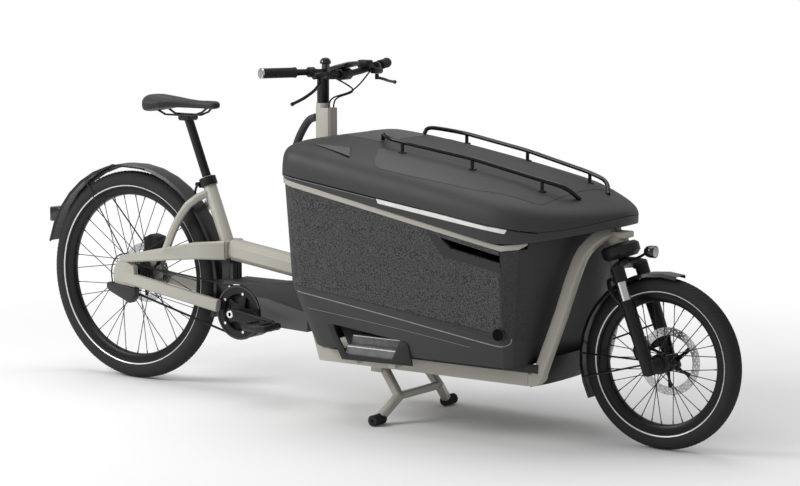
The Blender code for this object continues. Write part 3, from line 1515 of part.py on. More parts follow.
def floor_frame():
    """The ladder frame under the box, with its neck to the column, step treads and stand ears."""
    low_z = FLOOR_TOP_Z - FLOOR_RAIL_HEIGHT
    half = FLOOR_RAIL_WIDTH / 2
    inner = FLOOR_RAIL_Y - half
    neck_low = COLUMN_FRONT_X + SEAT
    body = block("floor_frame", (neck_low, -0.060, low_z + 0.002), (1.055, 0.060, FLOOR_TOP_Z - 0.002), 0.004)
    pieces = []
    for x in (FLOOR_REAR_X + 0.050, 1.375, FLOOR_FRONT_X - 0.024):
        pieces.append(block("cross_member", (x - 0.022, -inner - 0.004, low_z + 0.001), (x + 0.022, inner + 0.004, FLOOR_TOP_Z - 0.001)))
    reach = BOX_HALF_WIDTH - BOX_SIDE_TUCK - 0.004
    for x in (STEP_REAR_X + 0.075, STEP_FRONT_X - 0.040):
        pieces.append(block("step_bracket", (x - 0.012, -reach, FLOOR_TOP_Z - 0.020), (x + 0.012, reach, FLOOR_TOP_Z)))
    for side in SIDES:
        outline = [
            (FLOOR_REAR_X - 0.050, FLOOR_TOP_Z + 0.038),
            (FLOOR_REAR_X - 0.024, low_z),
            (FLOOR_FRONT_X, low_z),
            (FLOOR_FRONT_X, FLOOR_TOP_Z),
            (FLOOR_REAR_X - 0.010, FLOOR_TOP_Z),
            (FLOOR_REAR_X - 0.026, FLOOR_TOP_Z + 0.036),
        ]
        low, high = sorted((side * inner, side * (inner + FLOOR_RAIL_WIDTH)))
        pieces.append(soften(side_plate(f"floor_rail_{side}", [outline], low, high), 0.003))
        brace_z = FLOOR_TOP_Z - FLOOR_RAIL_HEIGHT / 2
        brace = [(COLUMN_FRONT_X + 0.014, side * 0.035, brace_z), (FLOOR_REAR_X + 0.030, side * FLOOR_RAIL_Y, brace_z)]
        pieces.append(bent_bar(f"floor_brace_{side}", brace, (0, 1, 0), (0.030,) * 2, (0.034,) * 2, 0.004))
        low, high = sorted((side * (STAND_TUBE_HALF + SEAT), side * (STAND_TUBE_HALF + 0.010)))
        ear_z = STAND_PIVOT_Z - 0.014
        pieces.append(block(f"stand_ear_{side}", (STAND_PIVOT_X - 0.02, low, ear_z), (STAND_PIVOT_X + 0.02, high, low_z + 0.01)))
    beam = block("stand_beam", (STAND_PIVOT_X - 0.025, -inner - 0.004, low_z + 0.002), (STAND_PIVOT_X + 0.025, inner + 0.004, FLOOR_TOP_Z - 0.002))
    pieces.append(beam)
    part("floor_frame", combine(body, pieces), "frame_paint")


def step_tread(name, side):
    """The two ribbed treads of a step in one pressing, the inner one higher."""
    inner, lip, outer = BOX_HALF_WIDTH - 0.0950, BOX_HALF_WIDTH - 0.0630, BOX_HALF_WIDTH - 0.0360
    low, middle, high = FLOOR_TOP_Z + SEAT, BOX_FOOT_Z + 0.016, BOX_FOOT_Z + 0.042
    start, end = STEP_REAR_X + 0.048, STEP_FRONT_X - 0.016
    outline = [(inner, low), (outer, low), (outer, middle), (lip, middle), (lip - 0.003, high), (inner, high)]
    outline = [(side * y, z) for y, z in outline]
    across = Matrix(((0, 0, 1, (start + end) / 2), (1, 0, 0, 0), (0, 1, 0, 0), (0, 0, 0, 1)))
    part(name, soften(plate(name, [outline], end - start, across), 0.002), "silver")


STAND_TUBE_HALF = 0.128

HOOP_PATH = (
    (FLOOR_FRONT_X + SEAT, -FLOOR_RAIL_Y, FLOOR_TOP_Z - FLOOR_RAIL_HEIGHT / 2),
    (1.724, -FLOOR_RAIL_Y, FLOOR_TOP_Z - FLOOR_RAIL_HEIGHT / 2),
    (1.740, -0.183, 0.250),
    (1.786, -0.160, 0.399),
    (1.807, -0.130, 0.509),
    (1.820, -0.104, 0.575),
    (1.838, -0.080, 0.607),
    (1.852, -0.052, 0.626),
    (1.862, 0.0, 0.635),
)


def front_hoop():
    """The hoop from the floor frame up over the front wheel, with the steering head's boss."""
    mirrored = [(x, -y, z) for x, y, z in reversed(HOOP_PATH[:-1])]
    path = list(HOOP_PATH) + mirrored
    half = [HOOP_WIDTH + 0.008, HOOP_WIDTH + 0.010] + [HOOP_WIDTH] * (len(HOOP_PATH) - 2)
    widths = half + half[-2::-1]
    depth = [FLOOR_RAIL_HEIGHT - 0.002] * 2 + [HOOP_DEPTH + 0.004] + [HOOP_DEPTH] * (len(HOOP_PATH) - 3)
    depths = depth + depth[-2::-1]
    body = bent_bar("front_hoop", path, (0, 1, 0), widths, depths, 0.006)
    nose = block("hoop_nose", (1.862, -0.028, 0.6210), (1.922, 0.028, 0.6400), 0.004)
    boss_end = (0.0, 0.0, HOUSING_TOP + 0.024)
    boss = rod("head_boss", (0, 0, HOUSING_TOP + SEAT), boss_end, 0.032, 20, place=FORK)
    bore = rod("head_bore", (0, 0, HOUSING_TOP - 0.01), (0, 0, HOUSING_TOP + 0.012), STEERER_RADIUS + RUNNING, 20, place=FORK)
    combine(body, [nose, boss])
    part("front_hoop", combine(body, [bore], "DIFFERENCE"), "frame_paint")


def steering_housing():
    """The round housing of the lower steering pulley, under the hoop."""
    bore = STEERER_RADIUS + RUNNING
    profile = [
        (bore, HOUSING_TOP),
        (HOUSING_RADIUS - 0.010, HOUSING_TOP),
        (HOUSING_RADIUS, HOUSING_TOP - 0.008),
        (HOUSING_RADIUS, HOUSING_FOOT + 0.012),
        (HOUSING_RADIUS - 0.012, HOUSING_FOOT),
        (bore, HOUSING_FOOT),
    ]
    part("steering_housing", turned("steering_housing", profile, 20, FORK), "plastic")


def stand(carrier):
    """The two-legged stand with its pivot tube and cross bar."""
    pivot_y = 0.100
    body = rod(
        "stand", (STAND_PIVOT_X, -STAND_TUBE_HALF, STAND_PIVOT_Z),
        (STAND_PIVOT_X, STAND_TUBE_HALF, STAND_PIVOT_Z), 0.013, 16,
    )
    pieces = []
    for side in SIDES:
        path = [
            (STAND_PIVOT_X, side * pivot_y, STAND_PIVOT_Z),
            (1.168, side * 0.112, 0.080),
            (STAND_FOOT_X, side * (STAND_FOOT_OUTER_Y - 0.040), STAND_FOOT_RADIUS + 0.002),
        ]
        sizes = (STAND_BAR,) * 3
        pieces.append(bent_bar(f"stand_leg_{side}", path, (0, 1, 0), sizes, sizes, 0.004))
    bar = block("stand_bar", (1.158, -0.112, 0.070), (1.178, 0.112, 0.092), 0.003)
    pieces.append(bar)
    combine(body, pieces)
    feet = []
    for side in SIDES:
        start, end = foot_span(side)
        start = (start[0], start[1] - side * 0.001, start[2])
        feet.append(rod(f"foot_clearance_{side}", start, end, STAND_FOOT_RADIUS + SEAT, 24))
    part("stand", combine(body, feet, "DIFFERENCE"), "frame_paint", carrier)


def foot_span(side):
    """Ends of a rubber foot."""
    outer = side * STAND_FOOT_OUTER_Y
    inner = side * (STAND_FOOT_OUTER_Y - 0.058)
    return (STAND_FOOT_X, inner, STAND_FOOT_RADIUS), (STAND_FOOT_X, outer, STAND_FOOT_RADIUS)


def stand_foot(name, side, carrier):
    """A ribbed rubber foot."""
    inner, outer = foot_span(side)
    length = abs(outer[1] - inner[1])
    turn = Matrix.Rotation(math.radians(-90 * side), 4, "X")
    profile = [(0.0, length / 2)]
    ribs = 2
    for k in range(ribs):
        top = length / 2 - k * length / ribs
        profile += [(STAND_FOOT_RADIUS, top), (STAND_FOOT_RADIUS, top - length / ribs * 0.7)]
        if k < ribs - 1:
            profile += [(STAND_FOOT_RADIUS - 0.002, top - length / ribs * 0.75)]
            profile += [(STAND_FOOT_RADIUS - 0.002, top - length / ribs * 0.95)]
    profile += [(STAND_FOOT_RADIUS, -length / 2), (0.0, -length / 2)]
    middle = Matrix.Translation((Vector(inner) + Vector(outer)) / 2)
    part(name, turned(name, profile, 10, middle @ turn, closed=False), "rubber", carrier)


# Fork and front end


def fork_crown(carrier):
    """Steerer, arched crown, stanchions and the headlight's bracket."""
    body = rod("fork_crown", (0, 0, CROWN_UNDER + 0.004), (0, 0, HOUSING_TOP + 0.010), STEERER_RADIUS, 20, place=FORK)
    middle = (CROWN_UNDER + CROWN_TOP) / 2
    path = [
        (FORK_LEG_X, -FORK_LEG_Y, CROWN_FOOT + 0.016),
        (FORK_LEG_X, -FORK_LEG_Y, CROWN_UNDER - 0.006),
        (0.004, -0.046, middle - 0.006),
        (0.0, 0.0, middle),
        (0.004, 0.046, middle - 0.006),
        (FORK_LEG_X, FORK_LEG_Y, CROWN_UNDER - 0.006),
        (FORK_LEG_X, FORK_LEG_Y, CROWN_FOOT + 0.016),
    ]
    thick = CROWN_TOP - CROWN_UNDER
    widths = (0.030, 0.032, thick, thick, thick, 0.032, 0.030)
    depths = (0.030, 0.034, 0.036, 0.040, 0.036, 0.034, 0.030)
    arch = bent_bar("crown_arch", path, (0, 1, 0), widths, depths, 0.006, place=FORK)
    pieces = [arch]
    for side in SIDES:
        y = side * FORK_LEG_Y
        foot = (FORK_LEG_X, y, CROWN_FOOT)
        pieces.append(rod(f"crown_leg_{side}", foot, (FORK_LEG_X, y, CROWN_UNDER), 0.0205, 12, place=FORK))
        deep = (FORK_LEG_X, y, LOWER_TOP - 0.085)
        pieces.append(rod(f"stanchion_{side}", deep, (FORK_LEG_X, y, CROWN_FOOT + 0.02), STANCHION_RADIUS, 12, place=FORK))
    bracket = [(0.012, 0.0, 0.3175), (0.058, 0.0, 0.3190), (0.086, 0.0, 0.3255)]
    pieces.append(tube("light_bracket", rounded_route(bracket, 0.012, 2), 0.0045, 1, place=FORK))
    combine(body, pieces)
    clear = rod("light_clearance", *headlight_ends(SEAT), HEADLIGHT_RADIUS + 0.0005, 24)
    part("fork_crown", combine(body, [clear], "DIFFERENCE"), "black_metal", carrier)


def headlight_ends(extra=0.0):
    """Rear and front of the headlight on its axis, with a clearance behind it."""
    half = HEADLIGHT_LENGTH / 2 + extra
    return (HEADLIGHT_X - half, 0.0, HEADLIGHT_Z), (HEADLIGHT_X + half, 0.0, HEADLIGHT_Z)


def headlight(carrier):
    """The round headlight with its lens."""
    rear, front = headlight_ends()
    turn = Matrix.Translation((HEADLIGHT_X, 0, HEADLIGHT_Z)) @ Matrix.Rotation(math.radians(90), 4, "Y")
    half = HEADLIGHT_LENGTH / 2
    profile = [
        (0.0, half - 0.003),
        (HEADLIGHT_RADIUS - 0.004, half - 0.001),
        (HEADLIGHT_RADIUS, half),
        (HEADLIGHT_RADIUS, half * 0.1),
        (HEADLIGHT_RADIUS - 0.003, -half * 0.6),
        (HEADLIGHT_RADIUS - 0.010, -half),
        (0.0, -half),
    ]
    part("headlight", turned("headlight", profile, 16, turn, closed=False), "gloss_black", carrier)


def fork_lowers(carrier):
    """Both lower legs with their bores, dropouts, the rear brace and the through axle."""
    reach = FORK_LEG_Y
    body = rod("fork_lowers", (FORK_RAKE, -reach, 0), (FORK_RAKE, reach, 0), AXLE_RADIUS, 12, place=FORK)
    pieces = []
    bores = []
    for side in SIDES:
        y = side * FORK_LEG_Y
        top, foot = (FORK_LEG_X, y, LOWER_TOP), (FORK_LEG_X + 0.002, y, -0.022)
        pieces.append(rod(f"lower_leg_{side}", foot, top, FORK_LEG_RADIUS - 0.003, 12, FORK_LEG_RADIUS, place=FORK))
        bore_end = (FORK_LEG_X, y, LOWER_TOP - 0.085 - FORK_TRAVEL - 0.004)
        bores.append(rod(f"leg_bore_{side}", bore_end, (FORK_LEG_X, y, LOWER_TOP + 0.01), STANCHION_RADIUS + RUNNING, 12, place=FORK))
        low, high = sorted((side * (FRONT_HUB_HALF + SEAT), side * (FORK_LEG_Y + 0.006)))
        pieces.append(block(f"fork_end_{side}", (FORK_LEG_X - 0.012, low, -0.026), (FORK_RAKE + 0.018, high, 0.018), 0.005, place=FORK))
    brace = [
        (-0.004, -FORK_LEG_Y, LOWER_TOP - 0.022),
        (-0.036, -FORK_LEG_Y + 0.006, LOWER_TOP + 0.030),
        (-0.046, -0.044, 0.279),
        (-0.046, 0.044, 0.279),
        (-0.036, FORK_LEG_Y - 0.006, LOWER_TOP + 0.030),
        (-0.004, FORK_LEG_Y, LOWER_TOP - 0.022),
    ]
    pieces.append(tube("fork_brace", rounded_route(brace, 0.014, 2), 0.0072, 1, place=FORK))
    combine(body, pieces)
    part("fork_lowers", combine(body, bores, "DIFFERENCE"), "black_metal", carrier)


def front_fender(carrier):
    """The front fender with its stays and rear flap."""
    centre = (WHEELBASE, FRONT_RADIUS)
    body = fender_band(
        "front_fender", FRONT_FENDER_RADIUS, FRONT_FENDER_WIDTH, FRONT_FENDER_START, FRONT_FENDER_END,
        FRONT_AXLE, 12,
    )
    pieces = []
    half = FRONT_FENDER_WIDTH / 2
    for side, angle, foot in ((-1, 178, 0.030), (-1, 194, 0.012), (1, 176, 0.118)):
        anchor = polar(FRONT_FENDER_RADIUS - 0.007, math.radians(angle), side * half, centre)
        seat = FORK @ Vector((-0.008, side * FORK_LEG_Y, foot))
        pieces.append(tube(f"front_stay_{angle}", [anchor, tuple(seat)], FENDER_STAY_RADIUS, 0))
    clearances = []
    for side in SIDES:
        y = side * FORK_LEG_Y
        top, foot = (FORK_LEG_X, y, LOWER_TOP), (FORK_LEG_X + 0.002, y, -0.022)
        clearances.append(rod(f"leg_clearance_{side}", foot, top, FORK_LEG_RADIUS - 0.003 + 0.0005, 12, FORK_LEG_RADIUS + 0.0005, place=FORK))
    combine(body, pieces)
    part("front_fender", combine(body, clearances, "DIFFERENCE"), "plastic", carrier)


def front_caliper(carrier):
    """The front caliper behind the left leg."""
    outline = [(-0.075, 0.034), (-0.050, 0.026), (-0.030, 0.050), (-0.034, 0.092), (-0.058, 0.088), (-0.078, 0.060)]
    slot = [(FORK_RAKE + x, z) for x, z in circle(ROTOR_RADIUS + 0.002, 16)]
    tab = block("caliper_tab", (-0.045, 0.050, 0.050), (0.004, 0.064, 0.075), 0.002, place=FORK)
    leg = rod(
        "caliper_leg_clearance", (FORK_LEG_X + 0.002, FORK_LEG_Y, -0.022), (FORK_LEG_X, FORK_LEG_Y, LOWER_TOP),
        FORK_LEG_RADIUS - 0.003 + 0.0005, 12, FORK_LEG_RADIUS + 0.0005, place=FORK,
    )
    body = plate("front_caliper", [outline], 0.034, FORK @ side_view(0.026, 0.060))
    gap = 0.0022
    groove = plate("front_groove", [slot], 2 * gap, FORK @ side_view(FRONT_ROTOR_Y - gap, FRONT_ROTOR_Y + gap))
    combine(soften(body, 0.002), [tab])
    part("front_caliper", combine(body, [groove, leg], "DIFFERENCE"), "black_metal", carrier)


# Saddle, seat post and clamp


def seat_clamp():
    """The collar round the top of the seat tube."""
    low, high = Vector(on_seat_axis(SEAT_TUBE_TOP_Z - 0.028)), Vector(on_seat_axis(SEAT_TUBE_TOP_Z - 0.002))
    body = rod("seat_clamp", low, high, SEAT_TUBE_RADIUS + 0.006, 16)
    upright = Matrix.Translation((low + high) / 2) @ Matrix.Rotation(-math.atan(SEAT_TUBE_SLOPE), 4, "Y")
    ears = block("clamp_ears", (-0.040, -0.010, -0.010), (-0.020, 0.010, 0.010), 0.002, place=upright)
    start, end = low - (high - low), high + (high - low)
    bore = rod("clamp_bore", start, end, SEAT_TUBE_RADIUS + 0.0005, 16)
    combine(body, [ears])
    part("seat_clamp", combine(body, [bore], "DIFFERENCE"), "black_metal")


def saddle_rails(name, grow=0.0):
    """Both rails with the bridge that joins them under the saddle's nose, or slightly grown as sockets."""
    x = seat_axis_x(POST_TOP_Z)
    nose_x, nose_z = SADDLE_NOSE_X - 0.030, SADDLE_RAIL_Z + 0.026
    rails = []
    for side in SIDES:
        route = [
            (SADDLE_REAR_X + 0.030 - grow * 0.6, side * 0.034, SADDLE_RAIL_Z + 0.032 + grow),
            (SADDLE_REAR_X + 0.062, side * 0.026, SADDLE_RAIL_Z - 0.008),
            (x + 0.060, side * 0.022, SADDLE_RAIL_Z - 0.008),
            (nose_x, side * 0.010, nose_z),
        ]
        rails.append(tube(f"{name}_{side}", rounded_route(route, 0.02, 1), 0.0038 + grow, 1))
    reach = 0.014 + grow
    rails.append(rod(f"{name}_bridge", (nose_x, -reach, nose_z), (nose_x, reach, nose_z), 0.0044 + grow, 8))
    return rails


def seat_post(carrier):
    """The seat post with its head and the saddle's two rails."""
    top_z = POST_TOP_Z
    body = rod("seat_post", on_seat_axis(0.560), on_seat_axis(top_z), SEAT_POST_RADIUS, 16)
    x = seat_axis_x(top_z)
    pieces = [block("post_head", (x - 0.024, -0.026, top_z - 0.014), (x + 0.026, 0.026, top_z + 0.008), 0.005)]
    pieces += saddle_rails("saddle_rail")
    part("seat_post", combine(body, pieces), "black_metal", carrier)


def saddle_section(share):
    """Half width and crown height of the saddle from tail to nose, by share of its length."""
    if share < 0.30:
        width = 0.074 + 0.006 * math.sin(math.pi * share / 0.30)
    else:
        fade = (share - 0.30) / 0.70
        width = 0.074 - 0.054 * math.sin(math.pi / 2 * min(1.0, fade * 1.5))
    dip = 0.010 * math.sin(math.pi * min(1.0, share / 0.85))
    return width, SADDLE_TOP_Z - dip


def saddle(carrier):
    """The padded saddle: crowned, with drawn-in sides and a relief channel."""
    loops = []
    length = SADDLE_NOSE_X - SADDLE_REAR_X
    for share in (0.0, 0.06, 0.26, 0.44, 0.62, 0.90, 1.0):
        width, top = saddle_section(share)
        end = share in (0.0, 1.0)
        squeeze = 0.72 if end else 1.0
        x = SADDLE_REAR_X + length * share
        width *= squeeze
        drop = 0.012 if end else 0.0
        base = SADDLE_RAIL_Z + 0.0235 - (0.004 if 0.3 < share < 0.9 else 0.0)
        channel = 0.004 if 0.1 < share < 0.8 else 0.001
        loops.append([
            Vector((x, 0.0, top - channel - drop)),
            Vector((x, -0.30 * width, top - drop)),
            Vector((x, -0.80 * width, top - 0.006 - drop)),
            Vector((x, -width, top - 0.020 - drop * 0.6)),
            Vector((x, -0.90 * width, base + 0.001)),
            Vector((x, -0.50 * width, base)),
            Vector((x, 0.50 * width, base)),
            Vector((x, 0.90 * width, base + 0.001)),
            Vector((x, width, top - 0.020 - drop * 0.6)),
            Vector((x, 0.80 * width, top - 0.006 - drop)),
            Vector((x, 0.30 * width, top - drop)),
        ])
    body = skin("saddle", loops)
    smooth = body.modifiers.new("padding", "SUBSURF")
    smooth.levels = 1
    smooth.render_levels = 1
    clear = saddle_rails("rail_socket", 0.0005)
    part("saddle", combine(body, clear, "DIFFERENCE"), "saddle", carrier)


CLAMP_LEVER_Z = SEAT_TUBE_TOP_Z - 0.015


def clamp_lever(carrier):
    """The cam lever behind the seat clamp."""
    x = seat_axis_x(CLAMP_LEVER_Z) - 0.0335
    y = -0.0150
    hub_end = rod("clamp_lever", (x, -0.0103, CLAMP_LEVER_Z - 0.010), (x, -0.0203, CLAMP_LEVER_Z - 0.010), 0.0075, 14)
    route = [(x, y, CLAMP_LEVER_Z - 0.010), (x - 0.010, y - 0.003, CLAMP_LEVER_Z - 0.032), (x - 0.006, y - 0.003, CLAMP_LEVER_Z - 0.058)]
    blade = tube("clamp_blade", rounded_route(route, 0.01, 2), 0.0042, 1)
    part("clamp_lever", combine(hub_end, [blade]), "black_metal", carrier)


# Handlebar


def bar_side(point, side):
    return (point[0], side * point[1], point[2])


def handlebar_route():
    """The bar from the right end to the left end."""
    right = [BAR_END, BAR_GRIP_START, (0.886, 0.115, 1.080), BAR_CLAMP]
    points = [bar_side(point, -1) for point in right] + [bar_side(point, 1) for point in reversed(right)]
    return rounded_route(points, 0.030, 1)


def handlebar(carrier):
    """The swept bar with the brake levers' master cylinders and the control pad by the left grip."""
    body = tube("handlebar", handlebar_route(), BAR_RADIUS, 1)
    pieces = []
    for side in SIDES:
        clamp = bar_side((0.8735, 0.182, 1.0815), side)
        inner = bar_side((0.8815, 0.164, 1.0812), side)
        pieces.append(rod(f"lever_clamp_{side}", clamp, inner, BAR_RADIUS + 0.005, 14))
        start = bar_side((0.8965, 0.128, 1.0720), side)
        end = bar_side((0.8925, 0.178, 1.0690), side)
        pieces.append(rod(f"master_{side}", start, end, 0.0105, 12))
    pieces.append(block("remote", (0.862, 0.090, 1.080), (0.906, 0.122, 1.106), 0.004))
    part("handlebar", combine(body, pieces), "black_metal", carrier)


def grip(name, side, carrier):
    """A waisted rubber grip on the bar's end, with its end cap."""
    end, start = Vector(bar_side(BAR_END, side)), Vector(bar_side(BAR_GRIP_START, side))
    heading = (end - start).normalized()
    first = start + heading * 0.030
    last = end + heading * 0.004
    place = between(first, last)
    half = (last - first).length / 2
    bore = BAR_RADIUS + RUNNING
    profile = [
        (0.0, half),
        (GRIP_RADIUS - 0.002, half),
        (GRIP_RADIUS, half - 0.006),
        (GRIP_RADIUS + 0.001, half * 0.5),
        (GRIP_RADIUS - 0.001, -half * 0.3),
        (GRIP_RADIUS + 0.0015, -half),
        (bore, -half),
        (bore, half - 0.003),
        (0.0, half - 0.003),
    ]
    part(name, turned(name, profile, 12, place, closed=False), "rubber", carrier)


LEVER_Z = 1.0500
LEVER_X = 0.897
LEVER_Y = 0.152


def brake_lever(name, side, droop, carrier):
    """A two-finger lever blade on its pivot boss in front of the master cylinder."""
    boss = rod(name, bar_side((LEVER_X, LEVER_Y, LEVER_Z - 0.008), side), bar_side((LEVER_X, LEVER_Y, LEVER_Z + 0.0095), side), 0.0065, 12)
    route = [
        (LEVER_X, LEVER_Y, LEVER_Z - 0.002),
        (LEVER_X + 0.006, LEVER_Y + 0.030, LEVER_Z - droop * 0.35),
        (LEVER_X - 0.006, LEVER_Y + 0.075, LEVER_Z - droop * 0.75),
        (LEVER_X - 0.016, LEVER_Y + 0.122, LEVER_Z - droop),
    ]
    blade = tube(name + "_blade", rounded_route([bar_side(p, side) for p in route], 0.02, 2), 0.0050, 1)
    ball = bmesh.new()
    bmesh.ops.create_uvsphere(ball, u_segments=6, v_segments=4, radius=0.0068)
    knob = close(ball, name + "_end", Matrix.Translation(bar_side(route[-1], side)))
    part(name, combine(boss, [blade, knob]), "black_metal", carrier)


def stem(carrier):
    """The quill stem with its forward clamp and the display's mount."""
    body = rod("stem", (STEER_AXIS_X, 0, COLUMN_TOP_Z + STEM_CAP_HEIGHT + SEAT), (STEER_AXIS_X, 0, 1.078), STEM_RADIUS, 16)
    quill = rod("quill", (STEER_AXIS_X, 0, 0.875), (STEER_AXIS_X, 0, 1.0), 0.0125, 16)
    neck = bent_bar("stem_neck", [(STEER_AXIS_X - 0.012, 0, 1.062), (BAR_CLAMP[0] + 0.002, 0, BAR_CLAMP[2])], (0, 1, 0), (0.038, 0.044), (0.034, 0.030), 0.008)
    jaw = rod("stem_jaw", (BAR_CLAMP[0], -0.026, BAR_CLAMP[2]), (BAR_CLAMP[0], 0.026, BAR_CLAMP[2]), 0.0185, 16)
    mount = block("display_mount", (0.846, -0.014, 1.070), (0.880, 0.014, 1.0880), 0.002)
    bore = rod("bar_bore", (BAR_CLAMP[0], -0.06, BAR_CLAMP[2]), (BAR_CLAMP[0], 0.06, BAR_CLAMP[2]), BAR_RADIUS + SEAT + 0.0003, 16)
    under = display_block("display_clearance", SEAT)
    combine(body, [quill, neck, jaw, mount])
    part("stem", combine(body, [bore, under], "DIFFERENCE"), "black_metal", carrier)


DISPLAY_PLACE = Matrix.Translation((0.878, 0.0, 1.091)) @ Matrix.Rotation(math.radians(-14), 4, "Y")


def display_block(name, grow=0.0):
    return block(name, (-0.040 - grow, -0.032 - grow, -0.007 - grow), (0.040 + grow, 0.032 + grow, 0.007 + grow), 0.003, place=DISPLAY_PLACE)


def display(carrier):
    """The display over the stem, tilted towards the rider."""
    part("display", display_block("display"), "gloss_black", carrier)


def bar_clearance(name):
    """The bar and its lever clamps, slightly grown, for cutting what sits on them."""
    return tube(name, handlebar_route(), BAR_RADIUS + 0.0005, 1)


def bell(carrier):
    """The bell on the right of the stem, on its foot."""
    profile = [(0.0, 0.012), (0.010, 0.010), (0.017, 0.002), (0.018, -0.006), (0.016, -0.008), (0.0, -0.008)]
    place = Matrix.Translation((0.882, -0.104, 1.112))
    dome = turned("bell", profile, 12, place, closed=False)
    foot = block("bell_foot", (0.873, -0.112, 1.078), (0.893, -0.096, 1.106))
    combine(dome, [foot])
    part("bell", combine(dome, [bar_clearance("bell_seat")], "DIFFERENCE"), "gloss_black", carrier)


def brake_hoses(carrier):
    """Both brake hoses from the masters round into the column's duct, tied where they cross."""
    top = COLUMN_TOP_Z + SEAT
    right = [
        (0.8960, -0.118, 1.0725),
        (0.895, -0.080, 1.062),
        (0.898, -0.020, 1.038),
        (0.894, 0.040, 1.014),
        (0.864, 0.046, 1.000),
        (0.832, 0.014, 0.990),
        (0.8290, 0.010, top + 0.012),
        (0.8290, 0.010, top),
    ]
    left = [
        (0.8960, 0.118, 1.0725),
        (0.897, 0.085, 1.048),
        (0.892, 0.042, 1.016),
        (0.862, 0.030, 1.000),
        (0.832, -0.010, 0.992),
        (0.8270, -0.012, top + 0.012),
        (0.8270, -0.012, top),
    ]
    body = tube("brake_hoses", rounded_route(right, 0.010, 1), 0.0028, 0)
    other = tube("left_hose", rounded_route(left, 0.010, 1), 0.0028, 0)
    tie = rod("hose_tie", (0.893, 0.034, 1.0165), (0.893, 0.046, 1.0145), 0.0070, 8)
    part("brake_hoses", combine(body, [tie, other]), "rubber", carrier)


# Assembly


def frame_parts():
    """Everything that stays fixed to the frame."""
    rear_frame()
    main_beam()
    steering_column()
    lifting_handle()
    floor_frame()
    front_hoop()
    steering_housing()
    motor()
    battery_cover()
    battery()
    drive_belt()
    shift_box()
    rear_fender()
    tail_light()
    rear_caliper()
    seat_clamp()
    windows = [window_cutter(side) for side in SIDES]
    step_tread("step_tread_right", -1)
    step_tread("step_tread_left", 1)
    box_tub(windows)
    box_collar()
    upper_rail()
    side_panel("side_panel_right", -1, windows[0])
    side_panel("side_panel_left", 1, windows[1])
    lower_body()


def moving_parts():
    """Every moving piece on the empty that marks its joint."""
    rear_wheel(pivot("rear_wheel_axis", REAR_AXLE))
    rear_sprocket(pivot("sprocket_axis", REAR_AXLE))
    crank = pivot("crank_axis", CRANK_AXIS)
    crankset(crank)
    drive_pulley(crank)
    for name, side in (("pedal_right", -1), ("pedal_left", 1)):
        x, z = crank_end(side)
        place = Matrix.Translation((x, side * CRANK_INNER_Y, z)) @ AXLE_TURN
        pedal(name, side, pivot(name + "_axis", place, crank))
    post = pivot("seat_post_axis", Matrix.Translation(on_seat_axis(SEAT_TUBE_TOP_Z)))
    seat_post(post)
    saddle(post)
    lever_x = seat_axis_x(CLAMP_LEVER_Z) - 0.0335
    clamp_lever(pivot("clamp_lever_axis", Matrix.Translation((lever_x, -0.015, CLAMP_LEVER_Z - 0.010))))
    steering = pivot("steering_axis", Matrix.Translation((STEER_AXIS_X, 0.0, COLUMN_TOP_Z)))
    steering_parts(steering)
    crown = pivot("fork_axis", FORK)
    fork_crown(crown)
    headlight(crown)
    lowers = pivot("fork_slide_axis", FORK, crown)
    fork_lowers(lowers)
    front_fender(lowers)
    front_caliper(lowers)
    front_wheel(pivot("front_wheel_axis", FRONT_AXLE, lowers))
    stand_axis = pivot("stand_axis", Matrix.Translation((STAND_PIVOT_X, 0.0, STAND_PIVOT_Z)))
    stand(stand_axis)
    stand_foot("stand_foot_right", -1, stand_axis)
    stand_foot("stand_foot_left", 1, stand_axis)
    hinge = pivot("lid_axis", Matrix.Translation((LID_HINGE_X, 0.0, LID_HINGE_Z)))
    lid(hinge)
    lid_rail("lid_rail_right", -1, hinge)
    lid_rail("lid_rail_left", 1, hinge)


def steering_parts(steering):
    """Stem, bar and what is on the bar."""
    stem(steering)
    handlebar(steering)
    grip("grip_right", -1, steering)
    grip("grip_left", 1, steering)
    display(steering)
    bell(steering)
    brake_hoses(steering)
    for name, side, droop in (("brake_lever_right", -1, 0.062), ("brake_lever_left", 1, 0.024)):
        place = Matrix.Translation(bar_side((LEVER_X, LEVER_Y, LEVER_Z), side))
        brake_lever(name, side, droop, pivot(name + "_axis", place, steering))


def centre_everything():
    """Hang every free object on a datum that puts the origin under the bike's middle."""
    datum = bpy.data.objects.new("rear_axle_datum", None)
    bpy.data.collections["electric_cargo_bike"].objects.link(datum)
    datum.location.x = -CENTRE_X
    for body in bpy.data.objects:
        if body is not datum and body.parent is None:
            body.parent = datum


def main():
    start_scene()
    frame_parts()
    moving_parts()
    centre_everything()


main()
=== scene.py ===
"""Looks for the electric cargo bike: finishes, wheels, saddle, lights, trim and the studio stage."""

import json
import math
from collections import namedtuple

import bmesh
import bpy
from mathutils import Matrix, Vector
from mathutils.bvhtree import BVHTree

